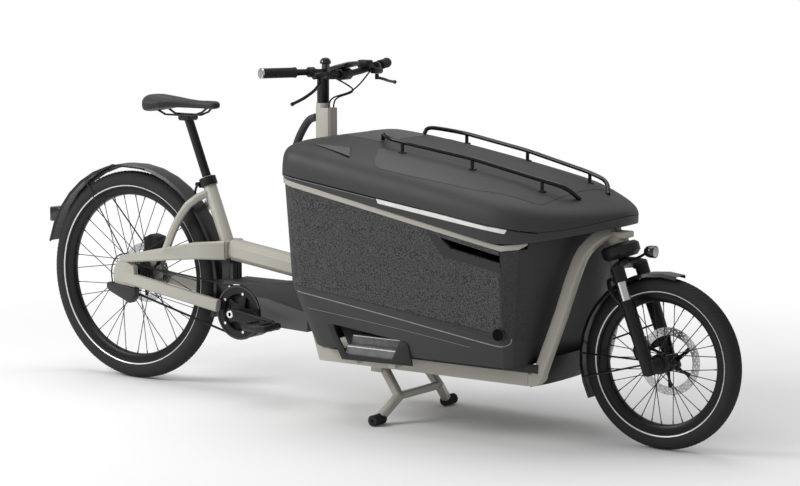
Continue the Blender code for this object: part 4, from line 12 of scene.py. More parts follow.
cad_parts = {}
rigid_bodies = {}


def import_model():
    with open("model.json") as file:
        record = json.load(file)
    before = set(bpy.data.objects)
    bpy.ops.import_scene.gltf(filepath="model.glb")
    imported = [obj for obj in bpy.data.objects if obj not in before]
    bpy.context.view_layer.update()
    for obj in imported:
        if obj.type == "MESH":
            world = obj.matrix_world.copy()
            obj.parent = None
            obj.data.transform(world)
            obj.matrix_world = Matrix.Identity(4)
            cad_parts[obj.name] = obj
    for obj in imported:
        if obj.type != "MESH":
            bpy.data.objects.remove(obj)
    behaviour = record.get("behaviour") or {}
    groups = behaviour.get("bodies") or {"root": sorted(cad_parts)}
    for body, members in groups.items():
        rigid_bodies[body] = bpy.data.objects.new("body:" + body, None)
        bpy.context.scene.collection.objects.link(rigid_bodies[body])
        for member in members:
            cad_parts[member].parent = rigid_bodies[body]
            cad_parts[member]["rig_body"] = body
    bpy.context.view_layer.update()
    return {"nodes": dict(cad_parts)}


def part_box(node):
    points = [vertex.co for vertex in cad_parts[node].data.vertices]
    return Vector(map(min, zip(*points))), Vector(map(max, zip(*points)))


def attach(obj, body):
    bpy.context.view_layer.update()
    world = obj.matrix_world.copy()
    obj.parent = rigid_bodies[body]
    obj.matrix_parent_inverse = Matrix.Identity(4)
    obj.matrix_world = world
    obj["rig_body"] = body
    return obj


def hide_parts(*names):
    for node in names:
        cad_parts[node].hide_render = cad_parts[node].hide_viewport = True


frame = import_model()

bl_info = {
    "name": "Electric Cargo Bike Looks",
    "version": (1, 0, 0),
    "blender": (4, 5, 0),
    "location": "3D View > Sidebar > Cargo Bike",
    "description": "Dresses the plain solids of an electric cargo bike and sets its studio stage",
    "category": "Object",
}

# Distance from the rear axle forward to the origin
CENTRE = 0.9625
WHEELBASE = 2.039
REAR_AXLE = Vector((-CENTRE, 0.0, 0.354))
FRONT_AXLE = Vector((WHEELBASE - CENTRE, 0.0, 0.258))
CRANK_AXLE = Vector((0.488 - CENTRE, 0.0, 0.274))
FORK_FOOT = Vector((1.05113, 0.0, 0.24877))
FORK_UP = Vector((-0.34202, 0.0, 0.93969))
FORK_AHEAD = Vector((0.93969, 0.0, 0.34202))
AHEAD = Vector((1.0, 0.0, 0.0))
ACROSS = Vector((0.0, 1.0, 0.0))
UP = Vector((0.0, 0.0, 1.0))
SIDE_NAMES = {-1: "right", 1: "left"}
# Points closer than this are merged
MERGE = 0.00001
# Height and place beside the bike where rays towards the lid and the sides start
ABOVE = 1.2
BESIDE = 0.6
HOSE_RADIUS = 0.0026


def colour(title, value, note):
    """A colour that a user can change."""
    return bpy.props.FloatVectorProperty(
        name=title, description=note, subtype="COLOR", size=3, min=0.0, max=1.0, default=value
    )


def length(title, value, note):
    """A length that a user can change."""
    return bpy.props.FloatProperty(name=title, description=note, unit="LENGTH", min=0.0, default=value)


class BikeColours(bpy.types.PropertyGroup):
    """Colours of the finishes."""

    frame_paint: colour("Frame paint", (0.42, 0.405, 0.352), "Warm beige grey of the painted tubes")
    shell: colour("Shell", (0.04, 0.04, 0.0409), "Moulded lid, collar and lower body")
    panel: colour("Side panel", (0.075, 0.075, 0.076), "Ground of the speckled side panel")
    panel_fleck: colour("Panel fleck", (0.020, 0.020, 0.020), "Dark flecks of the side panel")
    plastic: colour("Black plastic", (0.018, 0.018, 0.019), "Covers and small housings")
    black_metal: colour("Black metal", (0.016, 0.016, 0.017), "Anodised and powder coated parts")
    tyre: colour("Tyre", (0.022, 0.022, 0.022), "Tyre rubber")
    saddle: colour("Saddle", (0.020, 0.020, 0.021), "Saddle cover")
    reflector: colour("Reflector", (0.80, 0.80, 0.78), "Reflective rings and strips")


class BikeSizes(bpy.types.PropertyGroup):
    """Sizes of the trim that the solids leave out."""

    edge_round: length("Edge rounding", 0.0012, "Rounding of moulded edges")
    spoke_radius: length("Spoke radius", 0.0014, "Half the spoke's thickness")
    tread_height: length("Tread height", 0.0012, "How far tread blocks stand up")
    strip_width: length("Strip width", 0.0128, "Width of the reflective side strips")


class StageSettings(bpy.types.PropertyGroup):
    """Floor colour and lamp strength."""

    floor: colour("Floor", (0.94, 0.94, 0.94), "Pale floor and backdrop")
    key_power: bpy.props.FloatProperty(
        name="Key lamp",
        description="Power of the large lamp over the bike",
        unit="POWER",
        min=0.0,
        default=150.0,
    )


def sizes():
    return bpy.context.scene.bike_sizes


def stage_settings():
    return bpy.context.scene.bike_stage


# Working in edit mode


def alone(piece):
    """Select one object and nothing else."""
    bpy.ops.object.select_all(action="DESELECT")
    piece.select_set(True)
    bpy.context.view_layer.objects.active = piece


def start_edit(piece):
    """Edit one object with all of it selected."""
    alone(piece)
    bpy.ops.object.mode_set(mode="EDIT")
    bpy.ops.mesh.select_all(action="SELECT")


def end_edit():
    bpy.ops.object.mode_set(mode="OBJECT")


def titled(piece, title):
    """Name an object and its mesh."""
    piece.name = title
    piece.data.name = title
    return piece


def settle(piece, title):
    """Put the object's place into its mesh and name it."""
    alone(piece)
    bpy.ops.object.transform_apply(location=True, rotation=True, scale=True)
    return titled(piece, title)


def linked(title, data):
    """A new object in the scene."""
    piece = bpy.data.objects.new(title, data)
    bpy.context.scene.collection.objects.link(piece)
    return piece


def smooth(piece, degrees=30):
    alone(piece)
    bpy.ops.object.shade_smooth_by_angle(angle=math.radians(degrees))
    return piece


def apply_modifier(piece, kind, **values):
    """Add a modifier with its values and apply it."""
    alone(piece)
    step = piece.modifiers.new(kind.lower(), kind)
    for key, value in values.items():
        setattr(step, key, value)
    bpy.ops.object.modifier_apply(modifier=step.name)
    return piece


def rounded(piece, width, degrees=40, segments=2):
    """Round the edges that are sharper than an angle."""
    return apply_modifier(
        piece,
        "BEVEL",
        width=width,
        segments=segments,
        limit_method="ANGLE",
        angle_limit=math.radians(degrees),
    )


def outline_loop(title, points):
    """A closed loop of edges through points, from a circle primitive."""
    bpy.ops.object.select_all(action="DESELECT")
    bpy.ops.mesh.primitive_circle_add(vertices=len(points), radius=1.0, fill_type="NOTHING")
    piece = bpy.context.active_object
    for vertex, point in zip(piece.data.vertices, points):
        vertex.co = point
    return titled(piece, title)


def shaped_grid(title, rows):
    """A grid primitive with its vertices put at rows of points."""
    bpy.ops.object.select_all(action="DESELECT")
    bpy.ops.mesh.primitive_grid_add(x_subdivisions=len(rows[0]) - 1, y_subdivisions=len(rows) - 1, size=1.0)
    piece = bpy.context.active_object
    for vertex, point in zip(piece.data.vertices, [point for row in rows for point in row]):
        vertex.co = point
    return titled(piece, title)


def outward(piece):
    """Merge what meets and turn the faces outwards."""
    start_edit(piece)
    bpy.ops.mesh.remove_doubles(threshold=MERGE)
    bpy.ops.mesh.normals_make_consistent(inside=False)
    end_edit()
    return piece


def rolled(title, rows):
    """A grid whose long edges meet, merged along them and closed at both ends."""
    piece = shaped_grid(title, rows)
    start_edit(piece)
    bpy.ops.mesh.remove_doubles(threshold=MERGE)
    bpy.ops.mesh.select_all(action="DESELECT")
    bpy.ops.mesh.select_mode(type="EDGE")
    bpy.ops.mesh.select_non_manifold()
    bpy.ops.mesh.fill()
    bpy.ops.mesh.select_mode(type="VERT")
    end_edit()
    return outward(piece)


def spun(title, profile, centre, steps, axis=ACROSS, toward=AHEAD):
    """A closed profile of (radius, place along the axis) spun round an axis."""
    centre = Vector(centre)
    piece = outline_loop(title, [centre + toward * radius + axis * along for radius, along in profile])
    start_edit(piece)
    bpy.ops.mesh.spin(steps=steps, angle=math.tau, center=centre, axis=axis)
    end_edit()
    return outward(piece)


def plate(title, outline, low_y, high_y):
    """A flat outline in side view extruded from one y to another."""
    piece = outline_loop(title, [(x, low_y, z) for x, z in outline])
    start_edit(piece)
    bpy.ops.mesh.edge_face_add()
    bpy.ops.mesh.extrude_region_move(TRANSFORM_OT_translate={"value": (0.0, high_y - low_y, 0.0)})
    end_edit()
    return outward(piece)


def repeated(piece, count, centre):
    """Repeat all of a piece round an axle."""
    start_edit(piece)
    turn = math.tau * (count - 1) / count
    bpy.ops.mesh.spin(steps=count - 1, dupli=True, angle=turn, center=centre, axis=ACROSS)
    end_edit()
    return piece


def joined(pieces, title):
    """Join objects into the first of them."""
    bpy.ops.object.select_all(action="DESELECT")
    for piece in pieces:
        piece.select_set(True)
    bpy.context.view_layer.objects.active = pieces[0]
    bpy.ops.object.join()
    return titled(pieces[0], title)


def bar(title, start, end, radius, sides=12):
    """A round bar between two points, from a cylinder primitive."""
    start, end = Vector(start), Vector(end)
    way = end - start
    bpy.ops.object.select_all(action="DESELECT")
    bpy.ops.mesh.primitive_cylinder_add(vertices=sides, radius=radius, depth=way.length)
    piece = bpy.context.active_object
    turn = way.to_track_quat("Z", "Y").to_matrix().to_4x4()
    piece.matrix_world = Matrix.Translation((start + end) / 2) @ turn
    return settle(piece, title)


def brick(title, centre, size, round_by=0.0, segments=2, turn=None):
    """A block with rounded edges, from a cube primitive."""
    bpy.ops.object.select_all(action="DESELECT")
    bpy.ops.mesh.primitive_cube_add(size=1.0)
    piece = bpy.context.active_object
    place = Matrix.Translation(centre) @ (turn or Matrix.Identity(4))
    piece.matrix_world = place @ Matrix.Diagonal((*size, 1.0))
    settle(piece, title)
    return rounded(piece, round_by, segments=segments) if round_by else piece


def smooth_path(points, steps):
    """Points on a smooth curve through the given points."""
    points = [Vector(point) for point in points]
    ends = [points[0] * 2 - points[1], *points, points[-1] * 2 - points[-2]]
    path = []
    for a, b, c, d in zip(ends, ends[1:], ends[2:], ends[3:]):
        for k in range(steps):
            t = k / steps
            square = (a * 2 - b * 5 + c * 4 - d) * t * t
            cube = (b * 3 - a - c * 3 + d) * t ** 3
            path.append((b * 2 + (c - a) * t + square + cube) / 2)
    path.append(points[-1])
    return path


def rounded_corners(points, radius, steps):
    """The same line with each of its corners cut off by an arc-like curve."""
    points = [Vector(point) for point in points]
    path = [points[0]]
    for before, corner, after in zip(points, points[1:], points[2:]):
        reach_in = min(radius, (corner - before).length * 0.45)
        reach_out = min(radius, (after - corner).length * 0.45)
        start = corner + (before - corner).normalized() * reach_in
        end = corner + (after - corner).normalized() * reach_out
        for k in range(steps + 1):
            t = k / steps
            path.append(start * (1 - t) ** 2 + corner * 2 * t * (1 - t) + end * t * t)
    path.append(points[-1])
    return path


def swept(title, points, section, size, end_size=None, end_share=0.06):
    """A section of (across, up) swept along a line, with its half sizes and those near both ends."""
    last = len(points) - 1
    rows = []
    for j, point in enumerate(points):
        way = (points[min(j + 1, last)] - points[max(j - 1, 0)]).normalized()
        across = (ACROSS - way * ACROSS.dot(way)).normalized()
        up = way.cross(across)
        near_end = end_size and min(j / last, 1 - j / last) < end_share
        wide, high = end_size if near_end else size
        row = [point + across * (u * wide) + up * (v * high) for u, v in section]
        rows.append([*row, row[0]])
    return smooth(rolled(title, rows), 50)


def pipe(title, points, radius, sides):
    """A round pipe along a line."""
    turns = [math.tau * k / sides for k in range(sides)]
    return swept(title, points, [(math.cos(turn), math.sin(turn)) for turn in turns], (radius, radius))


def hose(title, points):
    """A thin round hose along smooth points, from a curve turned into a mesh."""
    curve = bpy.data.curves.new(title, "CURVE")
    curve.dimensions = "3D"
    curve.resolution_u = 4
    curve.bevel_depth = HOSE_RADIUS
    curve.bevel_resolution = 3
    curve.use_fill_caps = True
    spline = curve.splines.new("NURBS")
    spline.points.add(len(points) - 1)
    for place, (x, y, z) in zip(spline.points, points):
        place.co = (x - CENTRE, y, z, 1.0)
    spline.use_endpoint_u = True
    spline.order_u = 4
    alone(linked(title, curve))
    bpy.ops.object.convert(target="MESH")
    return smooth(outward(bpy.context.active_object), 60)


# Thin patches laid on the solids

DRESSED = {}


def surface_of(*nodes):
    """The surface of some solids, as dressed so far."""
    points, faces = [], []
    for node in nodes:
        mesh = DRESSED.get(node, frame["nodes"][node]).data
        first = len(points)
        points += [vertex.co.copy() for vertex in mesh.vertices]
        faces += [[first + i for i in face.vertices] for face in mesh.polygons]
    return BVHTree.FromPolygons(points, faces)


def cast_near(surface, point, ray):
    """Where a ray meets a surface, read from just beside it where the ray slips through a seam."""
    for drop in (0.0, -0.0020, 0.0020, -0.0040, 0.0040):
        beside = Vector((0.0, 0.0, drop))
        found, normal, _, _ = surface.ray_cast(point + beside, ray)
        if found is not None and abs(found.y) + abs(ray.z) > 0.05:
            return found - beside, normal
    return None, None


def laid_patch(title, surface, rows, ray, lift):
    """A thin patch whose grid points are dropped along a ray on a surface."""
    laid = []
    for row in rows:
        laid.append([])
        for point in row:
            found, normal = cast_near(surface, Vector(point), ray)
            if found is None:
                raise RuntimeError(f"{title} misses its surface at {tuple(point)}")
            laid[-1].append(found + normal * (-lift if normal.dot(ray) > 0 else lift))
    piece = shaped_grid(title, laid)
    start_edit(piece)
    bpy.ops.mesh.normals_make_consistent(inside=False)
    end_edit()
    if piece.data.polygons[0].normal.dot(ray) > 0:
        start_edit(piece)
        bpy.ops.mesh.flip_normals()
        end_edit()
    return smooth(apply_modifier(piece, "SOLIDIFY", thickness=lift, offset=-1.0))


def between(a, b, share):
    return tuple(p + (q - p) * share for p, q in zip(a, b))


def quad_rows(corners, across, along):
    """Grid points of a four-cornered patch: first edge from corner 0 to 1, last edge from 3 to 2."""
    rows = []
    for j in range(along + 1):
        left = between(corners[0], corners[3], j / along)
        right = between(corners[1], corners[2], j / along)
        rows.append([between(left, right, i / across) for i in range(across + 1)])
    return rows


# Shader groups


def new_group(title, inputs, outputs):
    """An empty shader group that takes a vector and other named inputs."""
    tree = bpy.data.node_groups.new(title, "ShaderNodeTree")
    tree.interface.new_socket("Vector", in_out="INPUT", socket_type="NodeSocketVector")
    for name, kind, value in inputs:
        tree.interface.new_socket(name, in_out="INPUT", socket_type=f"NodeSocket{kind}").default_value = value
    for name, kind in outputs:
        tree.interface.new_socket(name, in_out="OUTPUT", socket_type=f"NodeSocket{kind}")
    return tree, tree.nodes.new("NodeGroupInput").outputs, tree.nodes.new("NodeGroupOutput").inputs


def add_node(tree, kind, links, **values):
    """A node with settings and socket values by name and with links into its sockets."""
    made = tree.nodes.new(f"ShaderNode{kind}")
    for key, value in values.items():
        if hasattr(made, key):
            setattr(made, key, value)
        else:
            made.inputs[key.replace("_", " ").title()].default_value = value
    for socket, source in links.items():
        tree.links.new(source, made.inputs[socket])
    return made


def math_node(tree, operation, first, second):
    """The result of a Math node that is fed by two sockets."""
    return add_node(tree, "Math", {0: first, 1: second}, operation=operation).outputs["Value"]


def colour_socket(sockets, name):
    """The colour socket of that name on a Mix node."""
    return [socket for socket in sockets if socket.name == name and socket.type == "RGBA"][0]


def mixed(tree, factor, first, second):
    """A colour between two others, each a socket or a plain colour."""
    blend = tree.nodes.new("ShaderNodeMix")
    blend.data_type = "RGBA"
    tree.links.new(factor, blend.inputs["Factor"])
    for name, value in (("A", first), ("B", second)):
        socket = colour_socket(blend.inputs, name)
        if isinstance(value, bpy.types.NodeSocket):
            tree.links.new(value, socket)
        else:
            socket.default_value = (*value, 1.0)
    return colour_socket(blend.outputs, "Result")


def noise(tree, start, **values):
    """Noise by the group's own vector and scale."""
    links = {"Vector": start["Vector"], "Scale": start["Scale"]}
    return add_node(tree, "TexNoise", links, **values).outputs["Fac"]


def mottle_group():
    """Slow drift of colour and gloss over a surface."""
    inputs = [
        ("Dark", "Color", (0.0, 0.0, 0.0, 1.0)),
        ("Light", "Color", (1.0, 1.0, 1.0, 1.0)),
        ("Scale", "Float", 12.0),
        ("Smoothest", "Float", 0.3),
        ("Roughest", "Float", 0.5),
    ]
    tree, start, end = new_group("surface_mottle", inputs, [("Colour", "Color"), ("Roughness", "Float")])
    drift = noise(tree, start, detail=5.0, roughness=0.6)
    share = add_node(tree, "MapRange", {"Value": drift}, from_min=0.3, from_max=0.7).outputs["Result"]
    links = {"Value": drift, "To Min": start["Smoothest"], "To Max": start["Roughest"]}
    gloss = add_node(tree, "MapRange", links, from_min=0.3, from_max=0.7)
    tree.links.new(mixed(tree, share, start["Dark"], start["Light"]), end["Colour"])
    tree.links.new(gloss.outputs["Result"], end["Roughness"])
    return tree


def grain_group():
    """Fine grain of a moulded, painted or cast surface as a height."""
    tree, start, end = new_group("fine_grain", [("Scale", "Float", 400.0)], [("Height", "Float")])
    tree.links.new(noise(tree, start, detail=3.0, roughness=0.7), end["Height"])
    return tree


def fleck_group():
    """Small irregular flecks as a mask."""
    inputs = [("Scale", "Float", 150.0), ("Share", "Float", 0.5), ("Fade", "Float", 1.0)]
    tree, start, end = new_group("flecks", inputs, [("Mask", "Float")])
    drift = noise(tree, start, detail=1.5, roughness=0.55)
    edge = add_node(tree, "MapRange", {"Value": drift, "From Min": start["Share"]}, from_max=0.56)
    tree.links.new(math_node(tree, "MULTIPLY", edge.outputs["Result"], start["Fade"]), end["Mask"])
    return tree


def span_group():
    """A mask that fades along the bike and starts above a sloping line."""
    inputs = [("Full", "Float", 0.0), ("Gone", "Float", 1.0), ("Foot", "Float", 0.0)]
    tree, start, end = new_group("fade_along", inputs, [("Mask", "Float")])
    parts = add_node(tree, "SeparateXYZ", {"Vector": start["Vector"]}).outputs
    links = {"Value": parts["X"], "From Min": start["Full"], "From Max": start["Gone"]}
    along = add_node(tree, "MapRange", links, to_min=1.0, to_max=0.0, interpolation_type="SMOOTHSTEP")
    slope = add_node(tree, "Math", {0: parts["X"]}, operation="MULTIPLY")
    slope.inputs[1].default_value = 0.15
    level = math_node(tree, "ADD", parts["Z"], slope.outputs["Value"])
    above = math_node(tree, "GREATER_THAN", level, start["Foot"])
    tree.links.new(math_node(tree, "MULTIPLY", along.outputs["Result"], above), end["Mask"])
    return tree


def brushed_group():
    """Fine lines of turned or brushed metal as a height."""
    inputs = [("Stretch", "Vector", (1.0, 60.0, 1.0))]
    tree, start, end = new_group("brushed_lines", inputs, [("Height", "Float")])
    scaled = add_node(tree, "VectorMath", {0: start["Vector"], 1: start["Stretch"]}, operation="MULTIPLY")
    lines = add_node(tree, "TexNoise", {"Vector": scaled.outputs["Vector"]}, scale=30.0, detail=3.0)
    tree.links.new(lines.outputs["Fac"], end["Height"])
    return tree


def leather_group():
    """Pebbled leather grain as a height."""
    tree, start, end = new_group("leather_grain", [("Scale", "Float", 420.0)], [("Height", "Float")])
    links = {"Vector": start["Vector"], "Scale": start["Scale"]}
    cells = add_node(tree, "TexVoronoi", links, feature="SMOOTH_F1")
    tree.links.new(cells.outputs["Distance"], end["Height"])
    return tree


GROUP_MAKERS = {
    "mottle": mottle_group,
    "grain": grain_group,
    "flecks": fleck_group,
    "brushed": brushed_group,
    "leather": leather_group,
    "span": span_group,
}
GROUPS = {}


def place_group(tree, title, vector, values):
    """A shader group, built once, placed in a material with a vector and values."""
    if title not in GROUPS:
        GROUPS[title] = GROUP_MAKERS[title]()
    made = tree.nodes.new("ShaderNodeGroup")
    made.node_tree = GROUPS[title]
    tree.links.new(vector, made.inputs["Vector"])
    for key, value in values.items():
        made.inputs[key].default_value = value
    return made


def shade(value, factor):
    return tuple(min(1.0, channel * factor) for channel in value)


def tint(base):
    """A plain colour, or a colour of the scene's settings by name with a factor."""
    if len(base) == 3:
        return tuple(base)
    name, factor = base
    return shade(getattr(bpy.context.scene.bike_colours, name), factor)


# Finishes

FLECK_SCALE = 250.0
FLECK_SHARE = 0.48
BUMP_STRENGTH = 0.6


def make_finish(
    title, base, smoothest, roughest, drift=0.12, scale=9.0, depth=4e-5, metal=0.0, coat=0.0,
    coat_roughness=0.1, sheen=0.0, specular=0.35, relief="grain", texture=900.0, flecks=None, fade=None,
    fade_to=None,
):
    """A finish with drifting colour and gloss, a fine relief, and flecks where they are asked for."""
    made = bpy.data.materials.new(title)
    made.use_nodes = True
    tree = made.node_tree
    shader = tree.nodes["Principled BSDF"].inputs
    shader["Metallic"].default_value = metal
    shader["Coat Weight"].default_value = coat
    shader["Coat Roughness"].default_value = coat_roughness
    shader["Sheen Weight"].default_value = sheen
    shader["Specular IOR Level"].default_value = specular
    vector = tree.nodes.new("ShaderNodeTexCoord").outputs["Object"]
    base = tint(base)
    dark, light = (*shade(base, 1.0 - drift), 1.0), (*shade(base, 1.0 + drift), 1.0)
    values = {"Dark": dark, "Light": light, "Scale": scale, "Smoothest": smoothest, "Roughest": roughest}
    tone = place_group(tree, "mottle", vector, values).outputs
    skin = tone["Colour"]
    if fade:
        span = place_group(tree, "span", vector, dict(zip(("Full", "Gone", "Foot"), fade))).outputs["Mask"]
    # The fade_to colour takes over where the span mask fades out; on the lid's flank this is painted light
    # that dims towards the front
    if fade_to:
        skin = mixed(tree, span, tint(fade_to), skin)
    if flecks:
        mask = place_group(tree, "flecks", vector, {"Scale": FLECK_SCALE, "Share": FLECK_SHARE})
        if fade:
            tree.links.new(span, mask.inputs["Fade"])
        skin = mixed(tree, mask.outputs["Mask"], skin, tint(flecks))
    tree.links.new(skin, shader["Base Color"])
    tree.links.new(tone["Roughness"], shader["Roughness"])
    key = "Stretch" if relief == "brushed" else "Scale"
    height = place_group(tree, relief, vector, {key: texture}).outputs["Height"]
    bump = add_node(tree, "Bump", {"Height": height}, strength=BUMP_STRENGTH, distance=depth)
    tree.links.new(bump.outputs["Normal"], shader["Normal"])
    return made


def grey(value):
    return (value, value, value)


SHELL = ("shell", 1.0)
FLECK = ("panel_fleck", 1.0)
TURNED = dict(relief="brushed", depth=1e-5)
TREAD = dict(relief="brushed", texture=(2.0, 60.0, 60.0), depth=2e-5, metal=0.35, scale=40.0)

# Each finish: material name, colour, smoothest and roughest, and what departs from the plain case
LOOKS = {
    "frame_paint": (
        "frame_paint", ("frame_paint", 1.0), 0.30, 0.40,
        dict(drift=0.03, scale=5.0, texture=1500.0, depth=2e-5, coat=0.35, coat_roughness=0.18),
    ),
    "shell": ("moulded_shell", SHELL, 0.46, 0.58, dict(drift=0.07, scale=6.0, depth=6e-5)),
    "panel": (
        "speckled_panel", ("panel", 1.0), 0.62, 0.78,
        dict(drift=0.05, scale=6.0, texture=500.0, depth=12e-5, flecks=FLECK),
    ),
    "body": (
        "lower_shell", SHELL, 0.50, 0.62,
        dict(drift=0.07, scale=6.0, depth=6e-5, flecks=FLECK, fade=(0.70, 0.80, 0.432)),
    ),
    # Painted light: the lid's flank is painted lighter than the shell and dims to nearly the shell's tone
    # towards the front
    "flank": (
        "lid_flank", ("shell", 1.75), 0.50, 0.60,
        dict(drift=0.04, scale=6.0, depth=6e-5, fade=(0.25, 0.80, 0.0), fade_to=("shell", 1.05)),
    ),
    # Painted light: the lighter floor of the grip pockets and of the centre hollow
    "pocket": ("lid_pocket", ("shell", 2.15), 0.50, 0.60, dict(drift=0.08, scale=12.0, depth=6e-5)),
    # Painted highlight: pale lines below the lid's seam and along the lower body
    "painted_highlight": ("lit_edge", grey(0.17), 0.45, 0.55, dict(drift=0.10, scale=30.0)),
    # Painted highlight: the pale line along the side panel's foot
    "foot_light": ("panel_foot_edge", grey(0.26), 0.45, 0.55, dict(drift=0.20, scale=60.0)),
    # Painted shade: the grip pocket's edge, the shadow under the lid's seam and the inside of the round
    # recess
    "painted_shade": ("deep_black", grey(0.004), 0.85, 0.95, dict(drift=0.20, scale=30.0, specular=0.1)),
    "bezel": ("window_bezel", ("shell", 0.58), 0.42, 0.52, dict(drift=0.06, scale=10.0)),
    "bright_edge": ("bright_edge", grey(0.72), 0.25, 0.35, dict(metal=0.5, drift=0.06, scale=40.0)),
    # Painted highlight: the lid's platform, a little lighter than the shell; its coarser grain is its own
    "step_panel_highlight": (
        "lid_panel", ("shell", 1.12), 0.50, 0.62, dict(drift=0.06, scale=6.0, texture=1400.0, depth=10e-5),
    ),
    "tub": ("tub_liner", ("shell", 0.6), 0.60, 0.75, dict()),
    "plastic": ("black_plastic", ("plastic", 1.0), 0.36, 0.50, dict(drift=0.10, scale=8.0, specular=0.30)),
    "fender": (
        "fender_black", (0.014, 0.014, 0.015), 0.26, 0.36,
        dict(drift=0.10, scale=8.0, depth=2e-5, coat=0.3, coat_roughness=0.15),
    ),
    "cover": ("drive_cover", (0.034, 0.034, 0.036), 0.44, 0.56, dict(drift=0.08, scale=8.0, depth=5e-5)),
    "battery": ("battery_case", (0.085, 0.085, 0.088), 0.40, 0.50, dict(drift=0.06, scale=8.0)),
    "gloss": (
        "gloss_black", (0.010, 0.010, 0.011), 0.10, 0.20,
        dict(drift=0.10, scale=6.0, texture=60.0, depth=2e-5, coat=0.5, coat_roughness=0.05),
    ),
    "rail": (
        "gloss_rail", (0.004, 0.004, 0.005), 0.16, 0.26,
        dict(
            drift=0.10, scale=12.0, texture=200.0, depth=1e-5, coat=0.15, coat_roughness=0.08, specular=0.28
        ),
    ),
    "black_metal": (
        "black_metal", ("black_metal", 1.0), 0.30, 0.42, dict(metal=0.35, drift=0.15, scale=14.0, depth=2e-5),
    ),
    "dark_rim": (
        "anodised_rim", (0.014, 0.014, 0.015), 0.28, 0.38,
        dict(metal=0.5, drift=0.10, scale=10.0, texture=(1.0, 80.0, 1.0), **TURNED),
    ),
    "spoke": (
        "spoke_steel", (0.030, 0.030, 0.032), 0.26, 0.36,
        dict(metal=0.3, drift=0.15, scale=30.0, texture=300.0, depth=1e-5),
    ),
    "steel": (
        "brushed_steel", (0.56, 0.56, 0.57), 0.24, 0.36,
        dict(metal=1.0, drift=0.06, scale=20.0, texture=(40.0, 40.0, 1.0), **TURNED),
    ),
    "silver": (
        "bright_silver", (0.74, 0.74, 0.75), 0.12, 0.22,
        dict(metal=1.0, drift=0.04, scale=20.0, texture=(30.0, 30.0, 2.0), **TURNED),
    ),
    "tread_plate": ("tread_aluminium", grey(0.17), 0.38, 0.52, dict(drift=0.22, **TREAD)),
    "tread_rib": ("tread_ribs", grey(0.30), 0.34, 0.46, dict(drift=0.15, **TREAD)),
    "tyre": (
        "tyre_rubber", ("tyre", 1.0), 0.72, 0.90, dict(drift=0.18, scale=16.0, texture=700.0, depth=8e-5),
    ),
    "rubber": ("soft_rubber", grey(0.016), 0.66, 0.84, dict(drift=0.15, scale=20.0, depth=8e-5)),
    "saddle": (
        "saddle_leather", ("saddle", 1.0), 0.46, 0.60,
        dict(drift=0.14, scale=18.0, relief="leather", texture=520.0, depth=12e-5, sheen=0.10),
    ),
    "reflector": (
        "reflective_strip", ("reflector", 1.0), 0.30, 0.42,
        dict(metal=0.25, drift=0.04, scale=60.0, texture=1800.0, depth=2e-5),
    ),
    "red_lens": (
        "red_lens", (0.17, 0.006, 0.008), 0.08, 0.16,
        dict(drift=0.15, scale=80.0, texture=250.0, depth=15e-5, coat=0.7, coat_roughness=0.04),
    ),
    "lamp_glass": (
        "lamp_glass", (0.46, 0.47, 0.49), 0.06, 0.12,
        dict(metal=0.65, drift=0.25, scale=90.0, texture=260.0, depth=15e-5, coat=0.9, coat_roughness=0.03),
    ),
    "screen": (
        "display_glass", (0.012, 0.014, 0.016), 0.05, 0.10,
        dict(drift=0.10, scale=20.0, texture=40.0, depth=1e-5, coat=1.0, coat_roughness=0.03),
    ),
}
FINISHES = {}


def finish(look):
    """The finish of that name, made when it is first asked for."""
    if look not in FINISHES:
        *plain, special = LOOKS[look]
        FINISHES[look] = make_finish(*plain, **special)
    return FINISHES[look]


def fit(piece, look, node, replaced=()):
    """Finish a new piece, let it ride where its solid rides, and hide the solids that it stands for."""
    piece.data.materials.clear()
    piece.data.materials.append(finish(look))
    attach(piece, frame["nodes"][node]["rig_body"])
    if replaced:
        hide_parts(*replaced)
    return piece


def keep(node, look):
    """A solid that stays in view gets a better finish."""
    solid = frame["nodes"][node]
    if not solid.data.materials:
        solid.data.materials.append(finish(look))
    for slot in solid.material_slots:
        slot.material = finish(look)
    for face in solid.data.polygons:
        if face.material_index >= len(solid.material_slots):
            face.material_index = 0


def refined(node, look, edge=None, shading=38, levels=0):
    """A copy of a solid, merged, with rounded edges or smooth curves, that replaces it."""
    piece = linked(f"{node}_fine", frame["nodes"][node].data.copy())
    start_edit(piece)
    bpy.ops.mesh.customdata_custom_splitnormals_clear()
    bpy.ops.mesh.remove_doubles(threshold=2 * MERGE)
    if levels:
        bpy.ops.mesh.tris_convert_to_quads(face_threshold=math.radians(30), shape_threshold=math.radians(60))
        bpy.ops.mesh.select_all(action="DESELECT")
        bpy.ops.mesh.select_mode(type="EDGE")
        bpy.ops.mesh.edges_select_sharp(sharpness=math.radians(55))
        bpy.ops.transform.edge_crease(value=0.9)
        bpy.ops.mesh.select_mode(type="VERT")
    else:
        bpy.ops.mesh.dissolve_limited(angle_limit=math.radians(1))
    end_edit()
    if levels:
        apply_modifier(piece, "SUBSURF", levels=levels)
    width = sizes().edge_round if edge is None else edge
    if width:
        rounded(piece, width)
    DRESSED[node] = smooth(piece, shading)
    return fit(piece, look, node, [node])


def refine_all(rows):
    """Refine solids by (node, finish, edge rounding and further settings)."""
    for row in rows:
        refined(*row)


def round_axle(axle, radius, turn, along):
    """A point at a radius and turn round an axle."""
    return axle + Vector((radius * math.cos(turn), along, radius * math.sin(turn)))


def mirrored(half):
    """A closed profile from its half on one side of the middle plane."""
    return [*half, *((radius, -along) for radius, along in reversed(half))]


# Wheels

